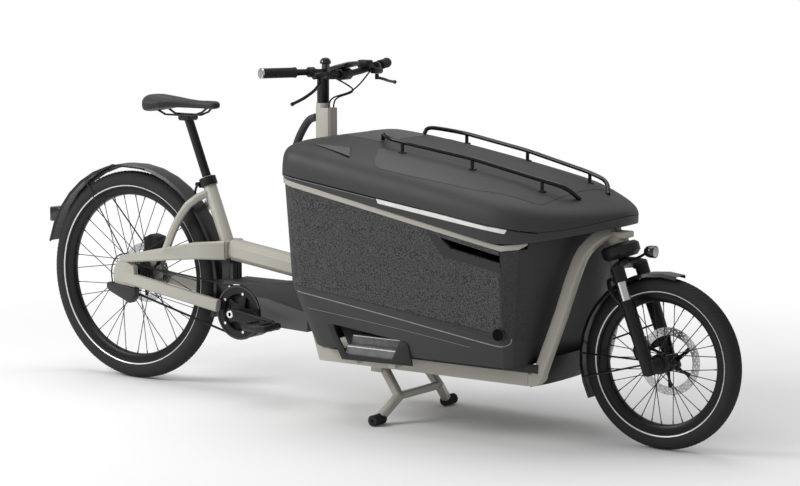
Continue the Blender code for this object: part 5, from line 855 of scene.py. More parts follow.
Wheel = namedtuple(
    "Wheel", "name axle bead section lugs ring_at flange flange_side spokes crosses disc_side hub"
)
HUB_BORE = 0.0075
WHEELS = (
    Wheel(
        name="rear", axle=REAR_AXLE, bead=0.292, section=0.0611, lugs=150, ring_at=127,
        flange=0.0440, flange_side=0.028, spokes=18, crosses=3, disc_side=0.050,
        hub=[
            (HUB_BORE, 0.0580), (0.0120, 0.0580), (0.0215, 0.0530), (0.0215, 0.0330), (0.0470, 0.0325),
            (0.0475, 0.0240), (0.0430, 0.0215), (0.0420, 0.0120), (0.0435, 0.0100), (0.0435, 0.0040),
            (0.0420, 0.0020),
        ],
    ),
    Wheel(
        name="front", axle=FRONT_AXLE, bead=0.203, section=0.0541, lugs=110, ring_at=123,
        flange=0.0270, flange_side=0.022, spokes=16, crosses=2, disc_side=0.040,
        hub=[
            (HUB_BORE, 0.0500), (0.0120, 0.0500), (0.0215, 0.0430), (0.0215, 0.0270), (0.0300, 0.0265),
            (0.0302, 0.0178), (0.0250, 0.0165), (0.0235, 0.0100), (0.0225, 0.0040),
        ],
    ),
)
WHEEL_STEPS = 120
# How far the spokes end below the bead, and the size of their nipples
SPOKE_END = 0.0185
NIPPLE_LENGTH = 0.012
NIPPLE_RADIUS = 0.0021
# How far spokes stand off to both sides of a flange
FLANGE_STEP = 0.0022
# Half of the rim's section: radius above the bead and place across
RIM_SECTION = (
    (-0.0200, 0.0070), (-0.0175, 0.0115), (-0.0090, 0.0158), (0.0040, 0.0170),
    (0.0060, 0.0165), (0.0058, 0.0140), (-0.0010, 0.0128), (-0.0060, 0.0060),
)
# Brake disc: outer radius, the radii of its bands, and the rows of holes as (low, high, which column of four)
DISC_RADIUS = 0.1015
DISC_BANDS = (0.0985, 0.0955, 0.0925, 0.0895, 0.0865, 0.0835, 0.0800, 0.0770)
DISC_HOLES = ((0.0955, 0.0985, 0), (0.0895, 0.0925, 2), (0.0835, 0.0865, 0))


def tyre(wheel):
    """A tyre with rows of low tread blocks."""
    node = f"{wheel.name}_tyre"
    reach = wheel.section / 2
    middle = wheel.bead + reach
    tread = sizes().tread_height
    profile = []
    for k in range(36):
        turn = math.tau * k / 36
        crown = reach - tread if math.cos(turn) > 0 else reach
        profile.append((middle + crown * math.cos(turn), reach * math.sin(turn)))
    carcass = spun("carcass", profile, wheel.axle, WHEEL_STEPS)
    lugs = []
    for row, degrees in enumerate((-56, -38, -19, 0, 19, 38, 56)):
        lean = math.radians(degrees)
        out = Vector((math.cos(lean), math.sin(lean), 0.0))
        place = Vector((middle, 0.0, 0.0)) + out * (reach - tread * 0.75)
        wide, long = (0.0062, 0.0078) if abs(degrees) < 50 else (0.0052, 0.0100)
        lug = brick("lug", place, (tread * 1.5, wide, long), turn=Matrix.Rotation(lean, 4, "Z"))
        stagger = Matrix.Rotation(math.pi / wheel.lugs if row % 2 else 0.0, 4, "Y")
        lug.data.transform(Matrix.Translation(wheel.axle) @ stagger)
        lugs.append(lug)
    blocks = repeated(joined(lugs, "lugs"), wheel.lugs, wheel.axle)
    fit(smooth(joined([carcass, blocks], f"{node}_treaded"), 40), "tyre", node, [node])


def reflective_rings(wheel):
    """The thin reflective ring on each side wall."""
    reach = wheel.section / 2
    middle = wheel.bead + reach
    turns = [math.radians(wheel.ring_at - 4.0 + 8.0 * k / 3) for k in range(4)]
    rings = []
    for side in SIDE_NAMES:
        outer, inner = (
            [(middle + radius * math.cos(turn), side * radius * math.sin(turn)) for turn in turns]
            for radius in (reach + 0.0004, reach - 0.0006)
        )
        rings.append(spun("ring", outer + inner[::-1], wheel.axle, WHEEL_STEPS))
    fit(smooth(joined(rings, f"{wheel.name}_tyre_ring"), 40), "reflector", f"{wheel.name}_tyre")


def rim(wheel):
    """A double-walled rim with its two brim edges."""
    node = f"{wheel.name}_rim"
    profile = mirrored([(wheel.bead + above, along) for above, along in RIM_SECTION])
    fit(smooth(spun(f"{node}_turned", profile, wheel.axle, WHEEL_STEPS), 32), "dark_rim", node, [node])


def spokes(wheel):
    """Crossed round spokes with their nipples at the rim."""
    step = math.tau / wheel.spokes
    sets = []
    for side in SIDE_NAMES:
        for lead in (-1, 1):
            hub_turn = (step / 2 if side > 0 else 0.0) + (step if lead > 0 else 0.0)
            rim_turn = hub_turn + lead * wheel.crosses * step
            hub_side = side * (wheel.flange_side + FLANGE_STEP * lead)
            start = round_axle(wheel.axle, wheel.flange, -hub_turn, hub_side)
            end = round_axle(wheel.axle, wheel.bead - SPOKE_END, -rim_turn, side * 0.002)
            wire = bar("wire", start, end, sizes().spoke_radius, 6)
            neck = end + (start - end).normalized() * NIPPLE_LENGTH
            nipple = bar("nipple", neck, end, NIPPLE_RADIUS, 6)
            sets.append(repeated(joined([wire, nipple], "spoke_pair"), wheel.spokes // 2, wheel.axle))
    fit(smooth(joined(sets, f"{wheel.name}_spokes"), 40), "spoke", f"{wheel.name}_hub")


def hub_shell(wheel):
    """The hub's turned shell with its two flanges."""
    node = f"{wheel.name}_hub"
    shell = rounded(spun(f"{node}_shell", mirrored(wheel.hub), wheel.axle, 48), 0.0008, 35)
    fit(smooth(shell, 35), "black_metal", node, [node])


def disc_band(title, centre):
    """The brake disc's ring with its rows of holes."""
    columns = 120
    bpy.ops.object.select_all(action="DESELECT")
    bpy.ops.mesh.primitive_circle_add(vertices=columns, radius=DISC_RADIUS)
    disc = bpy.context.active_object
    disc.matrix_world = Matrix.Translation(centre) @ Matrix.Rotation(math.radians(90), 4, "X")
    start_edit(settle(disc, title))
    radius = DISC_RADIUS
    for inner in DISC_BANDS:
        bpy.ops.mesh.extrude_edges_move()
        shape = bmesh.from_edit_mesh(disc.data)
        for vertex in shape.verts:
            if vertex.select:
                vertex.co = centre + (vertex.co - centre) * (inner / radius)
        bmesh.update_edit_mesh(disc.data)
        radius = inner
    shape = bmesh.from_edit_mesh(disc.data)
    doomed = []
    for face in shape.faces:
        away = face.calc_center_median() - centre
        column = round((math.atan2(away.z, away.x) % math.tau) / math.tau * columns - 0.5)
        if any(low < away.length < high and column % 4 == place for low, high, place in DISC_HOLES):
            doomed.append(face)
    bmesh.ops.delete(shape, geom=doomed, context="FACES")
    bmesh.update_edit_mesh(disc.data)
    end_edit()
    return smooth(apply_modifier(outward(disc), "SOLIDIFY", thickness=0.0018, offset=0.0))


def disc_rotor(wheel):
    """A brake disc on six pairs of arms with its bolted carrier."""
    node, axle, y = f"{wheel.name}_rotor", wheel.axle, wheel.disc_side
    fit(disc_band(f"{wheel.name}_disc_band", axle + ACROSS * y), "steel", node, [node])
    arms = []
    for first, last in ((0.0, 0.62), (0.42, 0.54)):
        start, end = round_axle(axle, 0.021, first, y), round_axle(axle, 0.0790, last, y)
        way = end - start
        lie = Matrix.Rotation(-math.atan2(way.z, way.x), 4, "Y")
        arms.append(brick("arm", (start + end) / 2, (way.length, 0.0028, 0.0080), 0.0005, 1, lie))
    arms = repeated(joined(arms, "arms"), 6, axle)
    low, high = y - 0.0022, y + 0.0022
    carrier = spun("carrier", [(0.0080, high), (0.0245, high), (0.0245, low), (0.0080, low)], axle, 40)
    ends = [round_axle(axle, 0.0190, 0.0, y + reach) for reach in (-0.0032, 0.0032)]
    bolts = repeated(bar("rotor_bolt", *ends, 0.0026, 6), 6, axle)
    fit(smooth(joined([arms, carrier, bolts], f"{wheel.name}_disc_carrier")), "black_metal", node)


class BikeWheels(bpy.types.Operator):
    """Tyres with tread and reflective rings, rims, spokes, hubs and brake discs"""

    bl_idname = "cargo_bike.wheels"
    bl_label = "Wheels"

    def execute(self, context):
        for make in (tyre, reflective_rings, rim, spokes, hub_shell, disc_rotor):
            for wheel in WHEELS:
                make(wheel)
        return {"FINISHED"}


# Box, lid and side panels

# Patches of the grip pocket in the lid's rear corner: title, finish, lift, grid and corners of (x, y)
# The pocket's floor is painted light and its top edge is painted shade
POCKET = (
    (
        "lid_pocket", "pocket", 0.0006, (20, 8),
        ((-0.010, 0.2560), (0.108, 0.2330), (0.140, 0.2790), (-0.004, 0.2610)),
    ),
    (
        "lid_pocket_edge", "painted_shade", 0.0009, (20, 2),
        ((-0.006, 0.2600), (0.141, 0.2800), (0.143, 0.2865), (-0.006, 0.2620)),
    ),
    (
        "lid_pocket_end", "bezel", 0.0010, (3, 10),
        ((0.108, 0.2320), (0.1115, 0.2310), (0.1440, 0.2800), (0.1405, 0.2810)),
    ),
)
HOLLOW = ((0.030, -0.1350), (0.1780, -0.1350), (0.1780, 0.1350), (0.030, 0.1350))
# Lower and upper line of the lid's flank in plan
FLANK_LOW = ((0.2396, 0.2937), (0.3713, 0.2906), (0.5928, 0.2745), (0.7879, 0.2264))
FLANK_HIGH = ((0.1860, 0.1900), (0.2645, 0.1800), (0.5045, 0.1600), (0.7395, 0.1410), (0.7990, 0.1180))
# Luggage rail: its posts from the rear axle, their height, and the section of a foot
RAIL_POSTS = ((1.227, 0.177), (1.467, 0.155), (1.702, 0.137))
RAIL_HEIGHT = 0.032
RAIL_FOOT = (
    (0.0002, -0.001), (0.0130, -0.001), (0.0130, 0.0015), (0.0110, 0.0030), (0.0060, 0.0042), (0.0002, 0.0042)
)
# Trim of the box's side in (x, z)
BEZELS = {
    "bezel_rear": ((0.4400, 0.6400), (0.4855, 0.6230), (0.5265, 0.5880), (0.4990, 0.5640)),
    "bezel_foot": ((0.5275, 0.5870), (0.6970, 0.5560), (0.6970, 0.5310), (0.4995, 0.5640)),
}
# Lines laid on the box's side: title, width, finish and points of (x, z); the panel's foot line and the body
# line are painted highlights
BODY_LINES = (
    (
        "panel_foot_line", 0.0030, "foot_light",
        (
            (-0.055, 0.4120), (0.030, 0.4010), (0.1327, 0.3870), (0.3183, 0.3613), (0.4989, 0.3350),
            (0.6300, 0.3165), (0.6800, 0.3105), (0.7050, 0.3115), (0.7190, 0.3200), (0.7230, 0.3340),
        ),
    ),
    (
        "body_line", 0.0018, "painted_highlight",
        ((-0.0145, 0.3627), (0.1303, 0.3489), (0.3164, 0.3301), (0.4527, 0.3142), (0.5864, 0.2970)),
    ),
    ("panel_front_cover", 0.0075, "body", ((0.6995, 0.3400), (0.6995, 0.4400), (0.6995, 0.5450))),
)
# A black disc of painted shade stands for the inside of the round recess, within a raised rim
RECESS = (0.689, 0.345)
RECESS_PARTS = (
    ("round_recess", "painted_shade", ((0.0002, 0.0036), (0.0190, 0.0036), (0.0190, -0.0010), (0.0002, -0.0010))),
    (
        "recess_ring", "bezel",
        ((0.0186, -0.0010), (0.0186, 0.0042), (0.0196, 0.0048), (0.0208, 0.0042), (0.0216, -0.0010)),
    ),
)
STEP_OUTLINE = (
    (0.060, 0.320), (0.079, 0.320), (0.134, 0.2310), (0.3030, 0.2310), (0.3130, 0.2500), (0.3340, 0.2930),
    (0.3620, 0.2870), (0.3800, 0.2190), (0.1160, 0.2140),
)
# Strips below the lid's seam, a painted highlight and a painted shadow: title, ends, heights, finish and
# slant of the ends
SEAM_STRIPS = (
    ("seam_edge", (-0.0900, 0.2660), (-0.0052, -0.0026), "painted_highlight", 0.0),
    ("seam_shadow", (-0.0900, 0.8050), (-0.0014, 0.0010), "painted_shade", 0.0),
)
STRIP_TOP = -0.0016
# Heights and places of the skirt behind the front wheel as (z, x)
SKIRT = ((0.176, 0.7440), (0.190, 0.7520), (0.210, 0.7600), (0.232, 0.7660), (0.262, 0.7700))


def on_lid(title, rows, look, lift, edge=0.0):
    """A patch with rows of (x, y) laid on the lid from above."""
    rows = [[(x, y, ABOVE) for x, y in row] for row in rows]
    piece = laid_patch(title, surface_of("lid"), rows, -UP, lift)
    if edge:
        smooth(rounded(piece, edge, 50))
    fit(piece, look, "lid")


def on_side(title, side, surface, rows, look, node, lift):
    """A patch with rows of (x, z) laid on the box from one side."""
    rows = [[(x, side * BESIDE, z) for x, z in row] for row in rows]
    fit(laid_patch(f"{title}_{SIDE_NAMES[side]}", surface, rows, ACROSS * -side, lift), look, node)


def lid_pocket(side):
    """The wedge-shaped grip pocket in the lid's rear corner: floor of painted light, edge of painted shade,
    and a darker end.
    """
    for title, look, lift, grid, corners in POCKET:
        rows = quad_rows([(x, side * y) for x, y in corners], *grid)
        on_lid(f"{title}_{SIDE_NAMES[side]}", rows, look, lift)


def centre_hollow():
    """The shallow hollow at the rear middle of the lid with its rounded front, a patch painted lighter as
    painted light.
    """
    rows = quad_rows(HOLLOW, 16, 24)
    rows = [[(x - 0.0300 * (abs(y) / 0.135) ** 3 * (x > 0.1), y) for x, y in row] for row in rows]
    on_lid("lid_centre_hollow", rows, "pocket", 0.0006)


def place_on(line, x):
    """The y on a line of (x, y) points at one x."""
    for (x0, y0), (x1, y1) in zip(line, line[1:]):
        if x <= x1:
            return y0 + (y1 - y0) * max(0.0, x - x0) / (x1 - x0)
    return line[-1][1]


def lid_flank(side):
    """The sloping flank of the lid beside its rail, painted lighter as painted light that dims towards the
    front.
    """
    rows = []
    for share in (j / 10 for j in range(11)):
        corner = 0.020 * (1.0 - math.sqrt(max(0.0, 1.0 - max(0.0, (share - 0.75) / 0.25) ** 2)))
        rows.append([])
        for along in (i / 60 for i in range(61)):
            low_x, high_x = (
                line[0][0] + (line[-1][0] - line[0][0]) * along for line in (FLANK_LOW, FLANK_HIGH)
            )
            x = high_x + (low_x - high_x) * share + corner * (1.0 - 2.0 * along)
            y = place_on(FLANK_HIGH, high_x) * (1.0 - share) + place_on(FLANK_LOW, low_x) * share
            rows[-1].append((x, side * y))
    on_lid(f"lid_flank_{SIDE_NAMES[side]}", rows, "flank", 0.0008)


def lid_platform():
    """The raised platform of the lid between its rails, with a coarser grain and a tone a little lighter than
    the shell as painted highlight.
    """
    start, end = FLANK_HIGH[0][0], FLANK_HIGH[-1][0]
    rows = []
    for along in (j / 36 for j in range(37)):
        half = place_on(FLANK_HIGH, start + (end - start) * along)
        rows.append([])
        for u in (-1 + 2 * i / 40 for i in range(41)):
            back = start + 0.060 * (1.0 - abs(u)) ** 0.5
            rows[-1].append((back + (end - back) * along, u * half))
    on_lid("lid_platform", rows, "step_panel_highlight", 0.0010, edge=0.0004)


def lid_rail(side):
    """A luggage rail with round bends on three posts with feet."""
    node = f"lid_rail_{SIDE_NAMES[side]}"
    surface = surface_of("lid")

    def over(x, y, rise, read_at=None):
        """A point at a height over the lid, read at another x where one is given."""
        found, _, _, _ = surface.ray_cast(Vector((read_at or x, side * y, ABOVE)), -UP)
        return x, side * y, found.z + rise

    tops = [over(x - CENTRE, y, RAIL_HEIGHT) for x, y in RAIL_POSTS]
    route = [
        over(0.1460, 0.1120, 0.0005),
        over(0.1530, 0.1200, 0.0260),
        (0.2000, side * 0.1680, tops[0][2] + 0.0090),
        *tops,
        over(0.8120, 0.1180, 0.0290, 0.800),
        over(0.8370, 0.0820, 0.0005),
    ]
    parts = [pipe("rail", rounded_corners(route, 0.034, 6), 0.0065, 14)]
    for x, y, z in tops:
        foot = z - RAIL_HEIGHT
        parts.append(bar("post", (x, y, foot - 0.001), (x, y, z), 0.0055, 14))
        parts.append(spun("foot", RAIL_FOOT, (x, y, foot), 28, UP))
    fit(smooth(joined(parts, f"{node}_bent"), 35), "rail", node, [node])


def side_strip(side, title, ends, heights, look, slant):
    """A thin strip along the collar, from one height to another below the lid's seam."""
    (start, end), (low, high) = ends, heights
    corners = [
        (x, 0.765 - 0.14 * (x + CENTRE - 0.95) + drop)
        for x, drop in ((start, high), (end, high), (end - slant, low), (start + slant, low))
    ]
    rows = quad_rows(corners, 48, 3)
    on_side(title, side, surface_of("lid", "box_collar"), rows, look, "box_collar", 0.0009)


def body_line(side, title, width, look, points):
    """A thin line laid on the side of the box along points of (x, z)."""
    path = smooth_path([(x, 0.0, z) for x, z in points], 10)
    rows = [[], []]
    for point, after in zip(path, path[1:] + [path[-1] * 2 - path[-2]]):
        way = (after - point).normalized()
        off = Vector((-way.z, 0.0, way.x)) * (width / 2)
        for row, place in zip(rows, (point + off, point - off)):
            row.append((place.x, place.z))
    surface = surface_of("lower_body", "side_panel_right", "side_panel_left")
    on_side(title, side, surface, rows, look, "lower_body", 0.0005)


def side_trim(side):
    """Window bezel, foot lines (painted highlights and a cover), a painted-shade disc in the round recess,
    step surround and sill of one side.
    """
    name = SIDE_NAMES[side]
    panel = f"side_panel_{name}"
    surface = surface_of(panel, "lower_body")
    for title, corners in BEZELS.items():
        on_side(title, side, surface, quad_rows(corners, 16, 4), "bezel", panel, 0.0006)
    for line in BODY_LINES:
        body_line(side, *line)
    x, z = RECESS
    spot, _, _, _ = surface.ray_cast(Vector((x, side * BESIDE, z)), ACROSS * -side)
    for title, look, profile in RECESS_PARTS:
        fit(smooth(spun(f"{title}_{name}", profile, spot, 40, ACROSS * side)), look, "lower_body")
    surround = plate(f"step_surround_{name}", STEP_OUTLINE, side * 0.2840, side * 0.2905)
    fit(smooth(rounded(surround, 0.0015)), "plastic", "lower_body")
    sill = brick(f"sill_{name}", (0.5725, side * 0.1975, 0.2365), (0.395, 0.013, 0.026), 0.002)
    fit(smooth(sill), "bezel", "lower_body")


def front_skirt():
    """The dark skirt that closes the box's underside behind the front wheel."""
    rows = [[(x - 0.02 * (abs(k) / 10) ** 3, 0.0172 * k, z) for k in range(-10, 11)] for z, x in SKIRT]
    piece = apply_modifier(shaped_grid("front_skirt", rows), "SOLIDIFY", thickness=0.003, offset=0.0)
    fit(smooth(outward(piece), 40), "plastic", "lower_body")


class BikeShell(bpy.types.Operator):
    """Lid, collar, side panels and lower body of the box with their trim"""

    bl_idname = "cargo_bike.shell"
    bl_label = "Box and Lid"

    def execute(self, context):
        refined("lid", "shell", edge=0.0, levels=2)
        refined("box_collar", "shell", edge=0.0, levels=1)
        refined("lower_body", "body")
        keep("side_panel_left", "panel")
        keep("side_panel_right", "panel")
        refined("upper_rail", "frame_paint")
        keep("box_tub", "tub")
        for side in SIDE_NAMES:
            lid_rail(side)
            lid_flank(side)
            lid_pocket(side)
            heights = (STRIP_TOP - sizes().strip_width, STRIP_TOP)
            side_strip(side, "side_strip", (0.2725, 0.7270), heights, "reflector", 0.0065)
            for strip in SEAM_STRIPS:
                side_strip(side, *strip)
            side_trim(side)
        centre_hollow()
        lid_platform()
        front_skirt()
        return {"FINISHED"}


# Frame, fork, drive and fittings

# Section of the hoop's flattened tube, and its line up to the nose
ROUND_BOX = (
    (1.0, 0.62), (0.97, 0.80), (0.88, 0.93), (0.70, 1.0),
    (-0.70, 1.0), (-0.88, 0.93), (-0.97, 0.80), (-1.0, 0.62),
    (-1.0, -0.62), (-0.97, -0.80), (-0.88, -0.93), (-0.70, -1.0),
    (0.70, -1.0), (0.88, -0.93), (0.97, -0.80), (1.0, -0.62),
)
HOOP_HALF = [
    (0.7380, -0.185, 0.2037), (0.7615, -0.185, 0.2037), (0.7775, -0.183, 0.250), (0.8235, -0.160, 0.399),
    (0.8445, -0.130, 0.509), (0.8575, -0.104, 0.575), (0.8755, -0.080, 0.607), (0.8895, -0.052, 0.626),
    (0.8995, 0.0, 0.635),
]
STEERING_HEAD = (
    (0.0165, 0.3745), (0.0305, 0.3745), (0.0320, 0.3760), (0.0320, 0.3960), (0.0305, 0.3980), (0.0165, 0.3980)
)
HANDLE_LINE = (
    (0.768, 0.925), (0.735, 0.915), (0.690, 0.845), (0.668, 0.760), (0.672, 0.660), (0.705, 0.590),
    (0.768, 0.560),
)


def step_tread(side):
    """Both levels of a step with raised ribs and bright front edges."""
    node = f"step_tread_{SIDE_NAMES[side]}"
    refined(node, "tread_plate", edge=0.0)
    low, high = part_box(node)
    outer, inner = (low.y, high.y) if side < 0 else (high.y, low.y)
    lip = inner + (outer - inner) * 0.50
    middle, long = (low.x + high.x) / 2, high.x - low.x
    ribs, count = [], 5
    for start, end, top in ((inner, lip, high.z - 0.0012), (lip, outer, 0.2585)):
        for k in range(count):
            place = (middle, start + (end - start) * (k + 0.5) / count, top)
            ribs.append(brick("rib", place, (long - 0.010, 0.0028, 0.0030), 0.0007, 1))
    fit(smooth(joined(ribs, f"{node}_ribs")), "tread_rib", node)
    edges = [
        brick("edge", (middle, y, z), (long - 0.006, 0.0022, 0.0034), 0.0006, 1)
        for y, z in ((outer, 0.2560), (lip, high.z - 0.0022))
    ]
    fit(smooth(joined(edges, f"{node}_bright_edges")), "bright_edge", node)


def bent_hoop():
    """The front hoop in one bent tube, with its nose and the steering head."""
    line = rounded_corners(HOOP_HALF + [(x, -y, z) for x, y, z in reversed(HOOP_HALF[:-1])], 0.030, 5)
    tube = swept("hoop", line, ROUND_BOX, (0.0170, 0.0182), end_size=(0.0205, 0.0198))
    nose = brick("hoop_nose", (0.9295, 0.0, 0.6305), (0.060, 0.056, 0.019), 0.004)
    head = spun("steering_head", STEERING_HEAD, FORK_FOOT, 40, FORK_UP, FORK_AHEAD)
    whole = joined([tube, nose, head], "front_hoop_bent")
    fit(smooth(whole, 40), "frame_paint", "front_hoop", ["front_hoop"])


def grab_handle():
    """The bent grab handle behind the column."""
    line = rounded_corners([(x - CENTRE, 0.0, z) for x, z in HANDLE_LINE], 0.040, 6)
    fit(pipe("grab_handle_bent", line, 0.0125, 20), "cover", "lifting_handle", ["lifting_handle"])


def ribbed_foot(side):
    """A stand foot with moulded ribs."""
    node = f"stand_foot_{SIDE_NAMES[side]}"
    low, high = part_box(node)
    centre = Vector(((low.x + high.x) / 2, 0.0, 0.0180))
    inner, outer = sorted((abs(low.y), abs(high.y)))
    ribs, base, top = 7, 0.0154, 0.0169
    width = (outer - inner) / ribs
    profile = [(0.0045, inner)]
    for start in (inner + k * width for k in range(ribs)):
        end = start + width
        profile += [(base, start + 0.0004), (top, start + 0.0016), (top, end - 0.0022), (base, end - 0.0008)]
    profile = [(radius, side * along) for radius, along in [*profile, (0.0045, outer)]]
    fit(smooth(spun(f"{node}_ribbed", profile, centre, 36)), "rubber", node, [node])


class BikeFrame(bpy.types.Operator):
    """Painted tubes, floor frame, front hoop, step treads and stand"""

    bl_idname = "cargo_bike.frame"
    bl_label = "Frame"

    def execute(self, context):
        for node in ("rear_frame", "main_beam", "steering_column", "floor_frame", "stand"):
            refined(node, "frame_paint", 0.0010)
        bent_hoop()
        grab_handle()
        for make in (step_tread, ribbed_foot):
            for side in (1, -1):
                make(side)
        return {"FINISHED"}


def stanchion_sleeves():
    """The bright slide tubes of the fork."""
    profile = [(0.01600, 0.2060), (0.01610, 0.2061), (0.01610, 0.2619), (0.01600, 0.2620)]
    tubes = []
    for side in SIDE_NAMES:
        foot = FORK_FOOT + FORK_AHEAD * 0.012 + ACROSS * (side * 0.070)
        tubes.append(spun("stanchion", profile, foot, 12, FORK_UP, FORK_AHEAD))
    fit(smooth(joined(tubes, "stanchion_tubes"), 40), "silver", "fork_crown")


def headlight_lens():
    """The headlight's glass."""
    low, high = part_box("headlight")
    centre = Vector((high.x, 0.0, (low.z + high.z) / 2))
    profile = [
        (0.0002, -0.003), (0.0150, -0.003), (0.0150, -0.0004), (0.0120, 0.0004), (0.0060, 0.0008),
        (0.0002, 0.0010),
    ]
    fit(smooth(spun("headlight_glass", profile, centre, 36, AHEAD, UP), 40), "lamp_glass", "headlight")


def tail_lens():
    """The red lens of the tail light."""
    low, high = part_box("tail_light")
    centre = Vector((low.x + 0.0060, 0.0, (low.z + high.z) / 2 - 0.004))
    lens = brick("tail_light_lens", centre, (0.0118, 0.0400, 0.0190), 0.0030, 3)
    fit(smooth(lens), "red_lens", "tail_light")


class BikeFork(bpy.types.Operator):
    """Fork, steering housing, fenders, calipers and lights"""

    bl_idname = "cargo_bike.fork"
    bl_label = "Fork and Lights"

    def execute(self, context):
        refine_all((
            ("fork_crown", "black_metal", 0.0),
            ("fork_lowers", "black_metal", 0.0010),
            ("steering_housing", "plastic", 0.0008),
            ("front_fender", "fender", 0.0, 60),
            ("rear_fender", "fender", 0.0, 60),
            ("front_caliper", "black_metal", 0.0008),
            ("rear_caliper", "black_metal", 0.0008),
        ))
        stanchion_sleeves()
        refine_all((("headlight", "gloss", 0.0006), ("tail_light", "gloss", 0.0010)))
        headlight_lens()
        tail_lens()
        return {"FINISHED"}


def crank_details():
    """Belt guide ring, ring bolts and arm caps of the crankset."""
    profile = [(0.0835, -0.0575), (0.0895, -0.0575), (0.0905, -0.0563), (0.0895, -0.0553), (0.0835, -0.0553)]
    fit(smooth(spun("belt_guide", profile, CRANK_AXLE, 72)), "gloss", "drive_pulley")
    bolts = []
    for turn in (-math.tau * k / 5 for k in range(5)):
        ends = [round_axle(CRANK_AXLE, 0.0660, turn, along) for along in (-0.0600, -0.0520)]
        bolts.append(bar("ring_bolt", *ends, 0.0046))
    fit(smooth(joined(bolts, "ring_bolts")), "silver", "crankset")
    for side, name in SIDE_NAMES.items():
        face, out, back = (side * along for along in (0.1020, 0.1036, 0.1000))
        profile = [
            (0.0002, face), (0.0055, face), (0.0062, out), (0.0115, out), (0.0128, face), (0.0128, back),
            (0.0002, back),
        ]
        fit(smooth(spun(f"crank_cap_{name}", profile, CRANK_AXLE, 36)), "silver", "crankset")


def pedal_studs(node):
    """Rows of small studs on both faces of a pedal."""
    low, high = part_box(node)
    centre, size = (low + high) / 2, high - low
    studs = []
    for face, edge in ((-1, low.z), (1, high.z)):
        for i in (-0.40, -0.14, 0.14, 0.40):
            for j in (-0.36, 0.0, 0.36):
                x, y = centre.x + size.x * i, centre.y + size.y * j
                foot, head = edge - face * 0.003, edge + face * 0.0012
                studs.append(bar("stud", (x, y, foot), (x, y, head), 0.0026, 8))
    fit(smooth(joined(studs, f"{node}_studs")), "rubber", node)


class BikeDrive(bpy.types.Operator):
    """Motor, battery, belt, cranks, pedals and shifting"""

    bl_idname = "cargo_bike.drive"
    bl_label = "Drive"

    def execute(self, context):
        refine_all((
            ("motor", "plastic", 0.0012),
            ("battery", "battery"),
            ("battery_cover", "cover", 0.0020),
        ))
        keep("drive_belt", "rubber")
        keep("drive_pulley", "black_metal")
        keep("rear_sprocket", "black_metal")
        refined("crankset", "black_metal", 0.0012)
        for node in ("pedal_left", "pedal_right"):
            refined(node, "plastic", 0.0010)
            pedal_studs(node)
        crank_details()
        refined("shift_box", "cover", 0.0012)
        return {"FINISHED"}


# Saddle and bars

SADDLE_REAR = 0.078 - CENTRE
SADDLE_NOSE = 0.366 - CENTRE
GRIP_START = Vector((0.866 - CENTRE, 0.202, 1.082))
GRIP_END = Vector((0.806 - CENTRE, 0.335, 1.083))
GRIP_RIBS = 18
# Parts of the grip's profile before and after its ribs, and its end cap's profile
GRIP_FLANGE = [(0.0113, 0.0245), (0.0160, 0.0245), (0.0168, 0.0262), (0.0168, 0.0292), (0.0152, 0.0308)]
GRIP_END_PROFILE = [
    (0.0160, 0.1375), (0.0166, 0.1395), (0.0164, 0.1440), (0.0140, 0.1460),
    (0.0004, 0.1467), (0.0004, 0.1420), (0.0113, 0.1415),
]
GRIP_CAP = [
    (0.0002, 0.1450), (0.0166, 0.1405), (0.0169, 0.1415), (0.0169, 0.1460),
    (0.0150, 0.1480), (0.0050, 0.1485), (0.0042, 0.1474), (0.0002, 0.1472),
]
# Hoses from the master cylinders into the column, from the rear axle; the first stands for the plain ones
HOSES = (
    (
        "brake_hose_right", ["brake_hoses"],
        (
            (0.8960, -0.118, 1.0725), (0.895, -0.080, 1.062), (0.898, -0.020, 1.038), (0.894, 0.040, 1.014),
            (0.864, 0.046, 1.000), (0.832, 0.014, 0.990), (0.8290, 0.010, 0.972), (0.8290, 0.010, 0.9575),
        ),
    ),
    (
        "brake_hose_left", [],
        (
            (0.8960, 0.118, 1.0725), (0.897, 0.085, 1.048), (0.892, 0.042, 1.016), (0.862, 0.030, 1.000),
            (0.832, -0.010, 0.992), (0.8270, -0.012, 0.972), (0.8270, -0.012, 0.9575),
        ),
    ),
)


def bell(value, middle, width):
    """A bump of height one round a middle value."""
    return math.exp(-(((value - middle) / width) ** 2))


